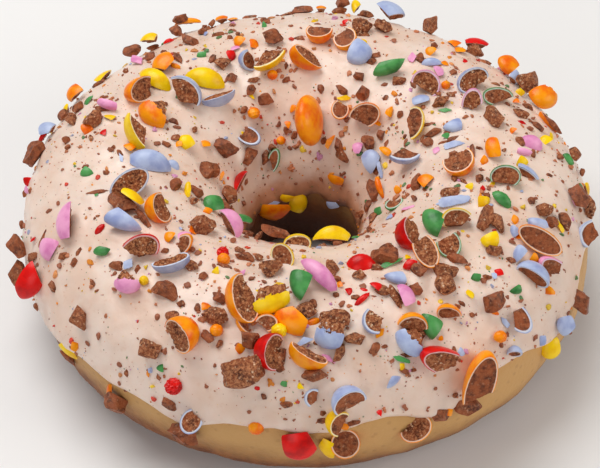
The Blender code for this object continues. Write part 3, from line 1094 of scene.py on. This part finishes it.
red = {
    "coat": (230, 16, 10),
    "deep": (176, 4, 4),
    "seed": 55,
    "halves": [
        (309.5, 79, 5.0, 3.9, 30, 60, 10, 0.7, 1),
        (246, 145, 4.0, 1.5, 62, 150, 60, 0.9, 0.3),
        (26.3, 37, 5.4, 3.9, -22, 125, 35, 0.7, 0.6),
        (41, 105.5, 5.0, 3.8, -58, 205, 48, 0.7, 0.8),
        (351.8, 51.5, 5.3, 4.0, 85, 175, 50, 0.75, 1),
    ],
    "segments": [
        (291.5, 13, 5.8, 3.8, 54, 300, 0.1),
        (358.4, -6, 5.2, 4.7, -40, 280, 0.4),
        (137.3, 44, 3.9, 2.1, 8, 90, 1.2),
        (31.5, 88.5, 2.3, 1.6, 20, 250, 0.1),
        (19, 83, 2.0, 1.1, -30, 90, 0.2),
    ],
    "lunes": [
        (18.8, 100.5, 4.4, 2.5, 5, 0.2),
        (15.5, 82, 2.0, 0.9, -30, 0),
        (14, 77.5, 3.1, 0.9, 45, 0.1),
        (297.5, 67, 2.4, 1.0, 50, 0),
        (103.5, 67.3, 2.0, 1.1, -20, 0),
        (216, 50, 1.9, 0.8, 28, 0.5),
        (350.3, 32.5, 1.6, 0.8, -25, 0),
        (255.5, 31, 3.7, 1.1, 66, 0.9),
    ],
    "balls": [(330, 99, 1.7), (334.5, 22.3, 2.4)],
    "ballRough": 0.045,
    "bits": [
        (260.7, 76, 1.5), (206.5, 90.5, 1.7), (132.5, 66, 1.1), (49, 60.5, 1.2), (169.5, 69, 0.9), (72.5, 90, 0.8),
        (285, 27, 1.0), (13, 16, 0.8), (11.3, 83.5, 1.1), (266, 22, 1.4),
    ],
}

green = {
    "coat": (84, 158, 86),
    "deep": (46, 112, 54),
    "seed": 66,
    "halves": [
        (115, 72, 4.9, 2.9, -5, 120, 8, 0.85, 0.5),
        (45.8, 87.3, 3.6, 3.4, 20, 290, 8, 0.8, 1),
        (80.5, 82.3, 4.7, 3.2, 3, 80, 8, 0.85, 0.6),
        (206.5, 145.5, 3.8, 2.0, 72, 25, 16, 0.75, 0.1),
        (66.5, 129.5, 3.0, 1.9, 30, 280, 30, 0.75, 0.4),
    ],
    "segments": [
        (246, 53, 2.1, 1.3, 35, 200, 0),
        (276, 70.2, 2.1, 1.8, 0, 270, 0),
        (215, 83.3, 1.6, 1.1, 5, 270, 0),
        (303.3, 62, 2.6, 1.5, 5, 250, 0.1),
        (294.3, 127, 3.4, 2.8, -20, 200, 0.2),
        (358, 87.5, 4.5, 3.5, 105, 200, 0.1),
        (52, 102, 4.4, 3.5, -60, 200, 0),
        (27.4, 54, 3.9, 3.0, -65, 200, 0.2),
        (95, 41, 2.3, 1.3, -52, 200, 0),
        (49.6, 47.8, 1.9, 1.4, 10, 250, 0),
        (43.7, 65.5, 1.5, 1.3, 0, 250, 0),
        (311, 134, 3.0, 2.1, 22, 90, 0.6),
        (148, 98, 5.7, 2.4, 22, 265, 0),
    ],
    "lunes": [(70.5, 80.5, 3.5, 1.8, -42, 0.2)],
    "shells": [
        (27, 93.3, 3.7, 0.9, 25, 0.1, 0.3),
        (115.5, 100.5, 2.2, 0.8, 0, 0.1, 0.3),
        (19, 42.3, 2.6, 0.8, -15, 0, 0.3),
    ],
    "bits": [
        (29, 127, 1.2), (331, 29.5, 1.1), (355.5, 35, 1.1), (192, 70, 0.8), (285.5, 73, 0.9), (66, 10, 1.6), (72, 141, 1.4),
        (102.5, 105.5, 1.0),
    ],
}

chocolate = {
    "seed": 77,
    # ring, tube, long, short, turn, lift, roughness
    "pieces": [
        (224.5, 43, 3.2, 2.2, 35, 0.9, 0.06), (225, 61, 1.9, 1.7, 60, 0, 0.06), (219.8, 46, 2.2, 0.9, 5, 0.6, 0.08),
        (249.5, 38.5, 2.1, 1.7, 60, 0.2, 0.08), (248, 48, 2.2, 1.7, 60, 0, 0.08), (253, 49.5, 2.4, 1.9, -50, 0, 0.12),
        (260.5, 29, 4.6, 3.0, 45, 0.4, 0.08), (251, 69.3, 2.8, 1.2, -22, 0, 0.06), (254.8, 66.5, 3.3, 2.7, 60, 0.1, 0.14),
        (238, 46, 2.4, 0.9, 32, 0.1, 0.05), (210.5, 46, 2.8, 1.8, 0, 2.4, 0.06), (212.7, 46, 2.1, 1.9, -60, 0.4, 0.08),
        (213, 65, 3.4, 1.8, -38, 0, 0.08), (207.5, 56, 1.6, 1.3, 0, 0.1, 0.06), (205.5, 47, 0.9, 0.7, 0, 0.4, 0.05),
        (203.5, 47, 1.4, 1.0, 70, 0.5, 0.05), (194, 48, 2.6, 0.9, 8, 0.1, 0.05), (221.5, 77.5, 2.5, 1.1, -62, 0.1, 0.08),
        (211.3, 94, 2.9, 2.2, 10, 0, 0.12), (213.3, 88.5, 1.8, 1.1, 60, 0, 0.08), (211.7, 103.5, 2.2, 1.7, 25, 0, 0.08),
        (190.7, 84.8, 3.5, 2.6, -5, 0, 0.05), (205.5, 69, 2.2, 1.0, 8, 0, 0.06), (203.2, 76.5, 1.1, 0.8, -30, 0, 0.05),
        (203.3, 108.5, 2.2, 1.0, 10, 0, 0.10), (206.3, 113, 2.0, 1.6, 50, 0, 0.08), (188.5, 105, 1.3, 0.7, 80, 0, 0.05),
        (189.5, 112, 1.5, 0.9, 30, 0, 0.05), (201, 119, 2.7, 2.3, -20, 0, 0.05), (214.5, 120.5, 1.5, 1.1, 40, 0, 0.06),
        (238.5, 130.5, 4.1, 2.9, -20, 0, 0.05), (224.5, 131.5, 1.7, 0.8, -55, 0, 0.06), (205.7, 140, 1.5, 1.3, 0, 0, 0.06),
        (188.5, 136.5, 1.4, 1.0, 60, 0, 0.05), (188.5, 141.5, 1.2, 0.8, 0, 0, 0.05), (182.5, 88, 1.9, 1.0, 0, 0, 0.06),
        (225.5, 139.5, 3.0, 2.1, 65, 0, 0.06), (212.5, 143, 2.6, 1.5, 72, 0, 0.06), (197.7, 131, 1.1, 0.7, 70, 0, 0.05),
        (247.8, 105, 1.8, 1.1, -20, 0, 0.08), (262.5, 107, 1.6, 1.0, -20, 0, 0.08), (271, 87, 1.7, 0.8, -65, 0, 0.06),
        (171.5, 44, 2.8, 2.4, 70, 0.9, 0.06), (181, 44, 3.8, 1.5, -5, 0.5, 0.05), (172, 48, 2.6, 1.5, 30, 0.3, 0.06),
        (165.3, 48, 2.6, 1.2, -15, 0.4, 0.10), (164, 72.5, 3.5, 3.0, 0, 0.1, 0.22), (158.8, 67.5, 3.2, 2.1, -42, 0.1, 0.20),
        (162.8, 79, 2.3, 1.1, -10, 0, 0.15), (177, 75, 1.6, 0.8, 20, 0, 0.06), (173, 116.5, 1.6, 1.2, -70, 0, 0.06),
        (155, 93.5, 1.8, 1.0, 20, 0, 0.08), (155.2, 98, 1.8, 1.2, 20, 0, 0.08), (149.5, 47, 3.3, 2.7, 65, 0.5, 0.12),
        (141.5, 84.5, 1.9, 1.4, -70, 0.1, 0.08), (141, 102, 2.4, 1.8, 25, 0, 0.12), (135, 100.5, 1.5, 0.9, -60, 0, 0.08),
        (157.3, 107.8, 1.9, 1.4, -15, 0, 0.08), (162.8, 115.7, 2.4, 1.3, -35, 0, 0.05), (152.3, 114.5, 2.5, 2.2, 80, 0, 0.06),
        (141, 112.5, 1.2, 0.7, 60, 0, 0.05), (129, 115.3, 1.4, 1.0, 60, 0, 0.08), (131.3, 127.3, 1.8, 1.4, 80, 0, 0.08),
        (124, 129, 1.7, 0.8, 80, 0, 0.08), (136.3, 133.2, 2.7, 2.2, -30, 0, 0.05), (155.3, 138.5, 2.7, 1.4, -68, 0, 0.05),
        (150.5, 142.5, 2.6, 1.5, -45, 0, 0.05), (167.3, 138, 1.6, 1.0, 70, 0, 0.05), (147, 150, 1.1, 0.6, -50, 0, 0.05),
        (119.8, 99.5, 3.2, 1.8, 18, 0, 0.12), (130.5, 79.5, 1.3, 1.0, 0, 0, 0.08), (136, 48, 3.1, 2.2, -30, 0.5, 0.12),
        (120.5, 43, 3.8, 3.5, 40, 0.9, 0.22), (127, 64, 1.9, 1.1, -20, 0, 0.12), (121, 64, 1.6, 0.7, -5, 0, 0.10),
        (106.3, 81.5, 3.9, 2.5, -55, 0, 0.16), (107.2, 64.5, 2.8, 1.5, -30, 0, 0.12), (111, 55.5, 2.0, 1.1, -20, 0, 0.08),
        (103.7, 56, 2.4, 1.1, -40, 0, 0.08), (98.5, 33, 2.3, 1.7, -50, 0.6, 0.12), (95.5, 72.5, 1.9, 1.3, -70, 0.1, 0.06),
        (91.5, 66.5, 1.4, 0.8, 80, 0, 0.06), (91, 96.7, 2.2, 0.8, -80, 0, 0.06), (99.5, 53, 1.5, 0.6, -60, 0, 0.05),
        (113.5, 111, 1.6, 0.8, 10, 0, 0.08), (108.3, 110.5, 3.0, 1.4, 20, 0, 0.06), (105, 114.8, 2.1, 1.6, -30, 0, 0.06),
        (100, 108, 1.8, 0.7, 15, 0, 0.06), (99.5, 103, 2.8, 0.9, 15, 0, 0.08), (106.5, 42, 4.2, 1.0, -48, 0.8, 0.06),
        (76, 103, 1.6, 1.0, -60, 0, 0.12), (75, 99, 1.5, 0.9, -50, 0, 0.12), (69, 103.3, 3.1, 1.5, 8, 0, 0.14),
        (96, 24, 1.3, 0.9, 70, 0.4, 0.08), (268, 18, 1.6, 1.0, 80, 0.1, 0.06), (276, 14, 1.4, 0.9, 80, 0.2, 0.08),
        (281, 11, 4.0, 2.8, -68, 0.3, 0.05), (284.5, 1, 3.8, 3.0, 55, 0.6, 0.08), (288, 20.5, 2.0, 1.6, 60, 0, 0.10),
        (288, 34.5, 3.4, 1.0, 78, 0, 0.05), (309.3, 26.5, 3.9, 2.8, -65, 0, 0.10), (285, 74, 3.7, 0.8, 5, 0, 0.04),
        (292, 84, 4.8, 2.9, -15, 0.1, 0.08), (301, 88, 3.8, 1.1, -57, 0.1, 0.06), (309.5, 62, 2.2, 1.5, -20, 0, 0.08),
        (314.5, 67.5, 1.7, 0.9, 80, 0, 0.08), (296, 42, 1.5, 1.1, 10, 0, 0.06), (299, 51, 2.0, 0.9, 75, 0, 0.06),
        (300, 46, 1.4, 0.9, 60, 0, 0.05), (299, 25.5, 2.2, 1.2, -50, 0, 0.08), (308, 47, 1.3, 0.8, -60, 0, 0.06),
        (285.5, 111.3, 2.1, 1.8, 55, 0, 0.06), (286.5, 121.5, 2.5, 1.6, -40, 0, 0.05), (261, 130, 3.3, 2.8, -20, 0, 0.06),
        (270.3, 141.2, 3.0, 2.5, -45, 0, 0.06), (286.5, 137, 2.2, 1.4, -45, 0, 0.06), (298, 139.5, 2.2, 1.4, -30, 0, 0.06),
        (315, 107, 4.0, 3.3, -20, 0.1, 0.10), (325, 127, 1.9, 1.1, 0, 0.1, 0.08), (331, 128, 1.7, 0.9, 60, 0.2, 0.10),
        (341.5, 127, 5.0, 2.3, -38, 1.4, 0.05), (325, 84.5, 2.5, 1.7, -30, 0, 0.10), (337.5, 101, 3.0, 1.8, -35, 0, 0.08),
        (334, 105, 1.6, 1.0, -30, 0, 0.08), (334, 90.5, 2.4, 1.0, -25, 0, 0.06), (330.5, 82, 1.4, 1.2, 0, 0, 0.08),
        (348, 96, 3.5, 2.5, 10, 0, 0.20), (324, 66.5, 3.9, 2.8, -35, 0.1, 0.03), (329.5, 64, 1.3, 1.1, 0, 0, 0.08),
        (333.5, 65.5, 1.2, 1.0, 60, 0, 0.08), (337.5, 73.5, 2.3, 1.6, -40, 0, 0.08), (338.3, 64.5, 4.1, 2.6, -10, 0.1, 0.22),
        (359.7, 74.5, 3.1, 2.3, 0, 0, 0.22), (329.2, 56.3, 2.1, 1.6, 10, 0, 0.12), (338.5, 53, 2.2, 1.3, -45, 0, 0.08),
        (347.7, 56, 2.9, 2.7, -30, 0, 0.05), (354, 48, 3.6, 2.0, 70, 0.1, 0.14), (347.3, 40.3, 6.4, 4.6, 8, 0.1, 0.26),
        (327.8, 36.5, 3.4, 3.1, 0, 0, 0.24), (334, 10, 2.5, 1.6, -30, 0, 0.08), (321, -12, 3.8, 2.6, -25, 0.5, 0.05),
        (336, -13, 4.9, 2.8, -18, 0.6, 0.05), (356, 24, 1.9, 1.1, -10, 0, 0.10), (351.8, 28, 1.1, 0.8, -45, 0, 0.06),
        (354.5, 43, 1.5, 0.9, 20, 0, 0.08), (6.3, 69.5, 4.4, 2.6, -8, 0.1, 0.24), (1.3, 41, 3.8, 2.2, 12, 0, 0.05),
        (6.3, 51, 3.1, 1.4, 68, 0, 0.14), (10, 57.3, 3.1, 1.8, 0, 0, 0.16), (13.8, 50.7, 2.0, 1.3, 60, 0, 0.08),
        (16, 50.8, 1.1, 0.7, 0, 0, 0.06), (24.3, 51.5, 1.9, 1.4, 70, 0.2, 0.10), (33, 58.5, 2.6, 1.7, -20, 0, 0.10),
        (20, 43.8, 2.0, 0.8, -12, 0, 0.05), (19, 35.5, 1.6, 0.8, -20, 0, 0.06), (20.8, 35, 0.9, 0.6, 0, 0, 0.05),
        (25.2, 0, 3.7, 2.2, -8, 0.3, 0.06), (31.8, -3, 4.1, 3.0, -12, 0.4, 0.05), (29.5, 37, 1.9, 0.9, 85, 0, 0.05),
        (40.5, 27.5, 1.2, 0.7, -70, 0, 0.05), (306.5, -9, 3.4, 1.1, -42, 0.9, 0.06), (2.8, 19, 1.0, 0.8, 0, 0, 0.06),
        (2.5, 14.5, 1.5, 0.9, 10, 0, 0.08), (8.3, 12, 1.9, 1.0, 20, 0, 0.08), (4.5, -16, 1.8, 1.0, 0, 0.9, 0.05),
        (324, 16, 1.2, 0.7, 80, 0, 0.05), (59.5, 1, 2.8, 2.0, -60, 0.9, 0.06), (65.8, 4, 4.4, 2.9, -65, 0.7, 0.05),
        (53.5, 70, 2.6, 1.8, -15, 0, 0.10), (61.5, 83.5, 4.2, 2.2, 75, 0.1, 0.12), (62, 77.5, 3.4, 2.1, -75, 0.1, 0.18),
        (44, 79.3, 3.4, 1.6, -25, 0, 0.08), (26.9, 99.5, 4.3, 2.6, 15, 0, 0.05), (30, 103, 2.3, 1.8, 30, 0, 0.08),
        (15.8, 92, 2.2, 1.5, 0, 0, 0.10), (22, 93.5, 2.0, 1.3, 0, 0, 0.10), (8.3, 98.5, 2.7, 1.8, -75, 0, 0.12),
        (32.5, 84, 2.3, 1.8, -40, 0, 0.08), (28.3, 75.5, 2.2, 1.9, 0, 0, 0.08), (20, 80.5, 2.2, 1.6, -20, 0, 0.14),
        (22.4, 75, 3.8, 1.4, -60, 0, 0.14), (12.5, 79.5, 1.3, 0.9, 0, 0, 0.08), (7.5, 82, 1.0, 0.8, 0, 0, 0.08),
        (38.8, 77.3, 3.8, 2.1, -12, 0.1, 0.12), (36, 71.5, 3.3, 2.9, -60, 0, 0.18), (43.3, 50, 3.8, 2.9, 35, 0, 0.06),
        (73.6, 58, 2.8, 2.1, 20, 0, 0.16), (71.5, 51.5, 2.1, 1.8, -30, 0, 0.08), (74, 44.5, 3.1, 1.8, -60, 0.1, 0.06),
        (85, 36, 3.9, 2.8, -60, 0.2, 0.06), (85, 25, 3.7, 1.9, 82, 0.3, 0.20), (90, 105, 2.0, 1.6, 60, 0.2, 0.10),
        (80, 121.5, 3.0, 1.8, 85, 0, 0.05), (106, 146, 3.7, 2.0, -68, 0, 0.05), (68, 120, 1.2, 0.8, -60, 0, 0.08),
        (97, 151, 2.2, 1.3, 60, 0, 0.08), (101, 157, 2.0, 1.4, 0, 0, 0.10), (68, 143.5, 2.1, 1.3, 60, 0.1, 0.08),
        (118, 140, 2.0, 1.0, -60, 0, 0.06), (54.3, 60, 1.6, 1.0, -20, 0, 0.05), (46, 62, 1.5, 0.9, 0, 0, 0.08),
        (46.5, 114, 1.9, 1.0, 0, 0, 0.08), (38, 99, 1.1, 0.7, 0, 0, 0.08), (261, 53.5, 1.4, 1.2, 0, 0, 0.06),
        (264, 56, 1.0, 0.9, 0, 0, 0.06), (273.5, 69, 1.1, 0.7, 0, 0, 0.06), (278, 80, 1.1, 0.8, 0, 0, 0.06),
        (244.5, 61, 1.0, 0.7, 20, 0, 0.06), (315.5, 84, 1.2, 0.9, 0, 0, 0.08), (36.5, 58, 1.3, 0.7, -35, 0, 0.05),
        (86, 57, 1.1, 0.6, -20, 0, 0.05), (240, 147, 1.3, 0.7, 60, 0, 0.05),
    ],
}


def layChocolate():
    dice = np.random.default_rng(chocolate["seed"])
    smooth, grainy = [], []
    for ringAngle, tubeAngle, long, short, turn, lift, rough in chocolate["pieces"]:
        body = chunk(long, short, dice, 0.008 + 0.75 * rough ** 1.5)
        home = grainy if rough >= 0.1 else smooth
        axes = turned(outWay(ringAngle, tubeAngle, 0.6), turn)
        grain = min(1.0, rough * 6) if rough >= 0.1 else dice.uniform(0, 0.35)
        rest(home, ringAngle, tubeAngle, body, axes, (long, short), turn, sink=0.25, lift=lift, grain=grain)
    return smooth, grainy


centreSweet = {"place": (178.5, 131), "long": 8.2, "short": 4.6, "turn": 92}


def layCentreSweet(parts):
    # the one nearly whole sweet, on the slope of the hole opposite the front
    breaks = [(unit((-0.25, -1.0, 0.55)), 3.7)]
    body = brokenBody(9.0, (4.6, 4.6, 2.7), (0, 0, 0), breaks, 7)
    z = unit(slantOut * 0.62 + slantRight * 0.78 + slantUp * 0.1)
    axes = turned(z, centreSweet["turn"])
    size = (centreSweet["long"], centreSweet["short"])
    rest(parts, *centreSweet["place"], body, axes, size, centreSweet["turn"], sink=0.6)


# ---- scattered pieces: crumbs everywhere, and larger ones on the far side

scatter = {
    "farPieces": 95,
    "chips": 60,
    "crumbs": 2100,
    "dust": 3200,
    "gathered": 0.5,  # share that lies close round the larger pieces
    "crumbTints": [
        (0.34, (158, 92, 62)),
        (0.26, (196, 120, 78)),
        (0.12, (222, 146, 84)),
        (0.06, (246, 150, 30)),
        (0.06, (246, 208, 50)),
        (0.05, (80, 138, 84)),
        (0.05, (214, 60, 40)),
        (0.03, (170, 186, 220)),
        (0.03, (224, 160, 204)),
    ],
}


def randomPlace(dice, accept):
    while True:
        around = dice.uniform(0, 2 * math.pi)
        low, high = float(outerEdge(np.array([around]))[0]), float(innerEdge(np.array([around]))[0])
        tube = dice.uniform(low + 2, high - 3)
        point = doughPoint(np.array([around]), np.array([math.radians(tube)]))[0]
        if dice.random() < math.hypot(point[0], point[1]) / 45 and accept(math.degrees(around), tube, point, dice):
            return math.degrees(around), tube


def layFarSide(kinds, smooth, grainy):
    # more of the same on the outer slope behind, which the listed pieces leave out
    dice = np.random.default_rng(404)
    names = ["orange", "yellow", "blue", "pink", "red", "green"]
    placed = [(middle, foot) for _, _, foot, middle in bedList]

    def behind(angle, tube, point, dice):
        normal = normalAt(doughPoint, np.array([math.radians(angle)]), np.array([math.radians(tube)]))[0]
        return normal @ slantOut < -0.04 - 0.09 * min(size, 3.2)

    laid = 0
    for attempt in range(4000):
        if laid >= scatter["farPieces"]:
            break
        size = float(np.clip(dice.lognormal(0.85, 0.5), 1.0, 6.0))
        angle, tube = randomPlace(dice, behind)
        spot = icingPoint(np.array([math.radians(angle)]), np.array([math.radians(tube)]))[0]
        if any(np.linalg.norm(spot - place) < 0.42 * size + 0.75 * foot for place, foot in placed):
            continue
        normal = normalAt(doughPoint, np.array([math.radians(angle)]), np.array([math.radians(tube)]))[0]
        side = unit(np.cross(normal, dice.normal(size=3)))
        if dice.random() < 0.42:
            rough = float(dice.choice([0.05, 0.07, 0.14, 0.22]))
            body = chunk(size, size * dice.uniform(0.5, 0.85), dice, 0.008 + 0.75 * rough ** 1.5)
            home = grainy if rough >= 0.1 else smooth
            axes = np.stack([side, np.cross(normal, side), normal], -1)
        else:
            home = kinds[names[int(dice.integers(6))]]
            short = size * dice.uniform(0.55, 0.85)
            if dice.random() < 0.45 and size > 2:
                tip = unit(normal + side * dice.uniform(-0.9, 0.9))
                other = unit(np.cross(tip, dice.normal(size=3)))
                body = halfSweet(size, short, dice.uniform(0, 6.3), dice.uniform(0.55, 0.95), 0.03, dice)
                axes = np.stack([other, np.cross(tip, other), tip], -1)
            else:
                body = segmentSweet(size, short, dice.uniform(0, 6.3), dice)
                if dice.random() < 0.4:
                    body = luneSweet(size, short, dice)
                axes = np.stack([side, np.cross(normal, side), normal], -1)
        rest(home, angle, tube, body, axes, slanted=False)
        placed.append((bedList[-1][3], bedList[-1][2]))
        laid += 1
    print("far side laid:", laid, "pieces")


def layChips(smooth, grainy):
    # small chips of chocolate between the larger pieces
    dice = np.random.default_rng(515)
    placed = [(middle, foot) for _, _, foot, middle in bedList]
    laid = 0
    for attempt in range(3000):
        if laid >= scatter["chips"]:
            break
        angle, tube = nearPiece(dice) if dice.random() < 0.7 else randomPlace(dice, lambda *place: place[1] > 45)
        size = dice.uniform(0.7, 1.4)
        spot = icingPoint(np.array([math.radians(angle)]), np.array([math.radians(tube)]))[0]
        if any(np.linalg.norm(spot - place) < 0.4 * size + 0.7 * foot for place, foot in placed):
            continue
        rough = float(dice.choice([0.05, 0.12]))
        body = chunk(size, size * dice.uniform(0.55, 0.9), dice, 0.008 + 0.75 * rough ** 1.5)
        axes = turned(outWay(angle, tube), dice.uniform(0, 360))
        rest(smooth if rough < 0.1 else grainy, angle, tube, body, axes, sink=0.15, grain=rough * 5)
        placed.append((bedList[-1][3], bedList[-1][2]))
        laid += 1
    print("chips laid:", laid)


def nearPiece(dice):
    while True:
        _, _, foot, middle = bedList[int(dice.integers(len(bedList)))]
        spot = middle + dice.normal(0, 0.9 + 0.7 * foot, 3)
        around = math.atan2(spot[0], -spot[1])
        out = math.hypot(spot[0], spot[1]) - ring["radius"]
        tube = math.degrees(math.atan2(spot[2] - ring["flatDrop"] + (5 if out < 0 else 0), out))
        low, high = float(outerEdge(np.array([around]))[0]), float(innerEdge(np.array([around]))[0])
        if low + 2 < tube < high - 3:
            return math.degrees(around), tube


def layCrumbs():
    dice = np.random.default_rng(909)
    parts, tints = [], []
    shares = np.array([share for share, _ in scatter["crumbTints"]])
    colours = [toLinear(tint) for _, tint in scatter["crumbTints"]]
    centres = np.array([middle for _, _, _, middle in bedList])
    feet = np.array([foot for _, _, foot, _ in bedList])

    def dense(angle, tube, point, dice):
        return dice.random() < 0.30 + 0.70 * min(max((tube - 25) / 50, 0), 1)

    for count, least, most in ((scatter["crumbs"], 0.32, 1.15), (scatter["dust"], 0.14, 0.32)):
        for index in range(count):
            if dice.random() < scatter["gathered"]:
                angle, tube = nearPiece(dice)
            else:
                angle, tube = randomPlace(dice, dense)
            size = least * (most / least) ** (dice.random() ** 1.7)
            around, over = np.array([math.radians(angle)]), np.array([math.radians(tube)])
            spot = icingPoint(around, over)[0]
            if (np.linalg.norm(centres - spot, axis=1) < feet * 0.62).any():
                continue
            normal = normalAt(doughPoint, around, over)[0]
            side = unit(np.cross(normal, dice.normal(size=3)))
            axes = np.stack([side, np.cross(normal, side), normal], -1)
            ways, faces, _ = ballTemplate(3 if size > 0.8 else (2 if size > 0.45 else 1))
            shape = np.array([1, dice.uniform(0.45, 0.9), dice.uniform(0.35, 0.7)]) * size / 2
            points = ways * shape * (1 + 0.22 * softNoise(ways, 1.6, int(dice.integers(1e6)), 5))[:, None]
            flat = np.zeros(len(points))
            parts.append((points @ axes.T + spot + normal * shape[2] * 0.5, faces, flat, flat))
            colour = np.array(colours[dice.choice(len(colours), p=shares / shares.sum())])
            colour[:3] *= dice.uniform(0.8, 1.15)
            tints.append(np.tile(np.minimum(colour, 1), (len(points), 1)))
    return parts, np.concatenate(tints)


# ---- building it all

makeDough()
kinds = {"orange": orange, "yellow": yellow, "blue": blue, "pink": pink, "red": red, "green": green}
laid = {name: laySweets(kind) for name, kind in kinds.items()}
layCentreSweet(laid["orange"])
smoothChocolate, grainyChocolate = layChocolate()
layFarSide(laid, smoothChocolate, grainyChocolate)
layChips(smoothChocolate, grainyChocolate)
makeIcing([(place, radius) for place, radius, foot, _ in bedList if foot > 0.9])
for name, parts in laid.items():
    joined(name + "Sweets", parts, sweetMaterial(name + "Coat", kinds[name]["coat"], kinds[name]["deep"]))
milkChocolate = chocolateMaterial()
joined("smoothChocolate", smoothChocolate, milkChocolate)
joined("grainyChocolate", grainyChocolate, milkChocolate)
crumbParts, crumbTints = layCrumbs()
joined("crumbs", crumbParts, crumbMaterial(), tint=crumbTints)


# ---- floor, light and camera

studio = {
    "floor": (236, 236, 236),
    "world": (255, 252, 248),
    "worldStrength": 0.24,
    # name, place (m), size (m), power (W), colour
    "lamps": [
        ("softboxOverhead", (-0.18, 0.16, 0.55), 0.50, 3.0, (252, 250, 248)),
        ("fillRight", (0.50, -0.15, 0.30), 0.40, 1.1, (255, 248, 240)),
        ("fillFront", (-0.20, -0.55, 0.35), 0.45, 0.85, (252, 250, 252)),
    ],
}


def makeStudio():
    nodes = Nodes("paleFloor")
    shade = nodes.ramp(nodes.noise(40.0, 2.0), 0.3, 0.7)
    base = toLinear(studio["floor"])
    nodes.finish(nodes.mix(shade, tuple(c * 0.985 for c in base[:3]) + (1.0,), base), 0.7)
    sheet = bmesh.new()
    bmesh.ops.create_grid(sheet, x_segments=8, y_segments=8, size=1.5)
    mesh = bpy.data.meshes.new("floor")
    sheet.to_mesh(mesh)
    sheet.free()
    mesh.materials.append(nodes.material)
    floor = bpy.data.objects.new("floor", mesh)
    floor.location.z = -0.0001
    bpy.context.scene.collection.objects.link(floor)

    world = bpy.data.worlds.new("studio")
    world.use_nodes = True
    sky = world.node_tree.nodes["Background"]
    sky.inputs["Color"].default_value = toLinear(studio["world"])
    sky.inputs["Strength"].default_value = studio["worldStrength"]
    bpy.context.scene.world = world

    for name, place, size, power, colour in studio["lamps"]:
        lamp = bpy.data.lights.new(name, "AREA")
        lamp.shape = "DISK"
        lamp.size = size
        lamp.energy = power
        lamp.color = toLinear(colour)[:3]
        holder = bpy.data.objects.new(name, lamp)
        holder.location = place
        aim = -np.array(place) + np.array([0, 0, 0.015])
        holder.rotation_euler = vectorTurn(aim)
        bpy.context.scene.collection.objects.link(holder)


def vectorTurn(aim):
    # the rotation that points -Z along aim, with Y up
    from mathutils import Vector
    return Vector(aim).to_track_quat("-Z", "Y").to_euler()


view = {
    "elevation": 44.0,
    "distance": 300.0,
    "lens": 113.0,
    "slide": (-1.12, -1.75),  # right and up in its own plane
}


def makeCamera():
    camera = bpy.data.cameras.new("camera")
    camera.lens = view["lens"]
    camera.sensor_width = 36.0
    camera.clip_start = 0.01
    holder = bpy.data.objects.new("camera", camera)
    place = slantOut * view["distance"] + slantRight * view["slide"][0] + slantUp * view["slide"][1]
    place[2] += ring["flatDrop"]
    holder.location = place * mm
    holder.rotation_euler = (math.radians(90 - view["elevation"]), 0, 0)
    bpy.context.scene.collection.objects.link(holder)
    bpy.context.scene.camera = holder


makeStudio()
makeCamera()
bpy.context.scene.view_settings.view_transform = "Standard"
print("studio made")
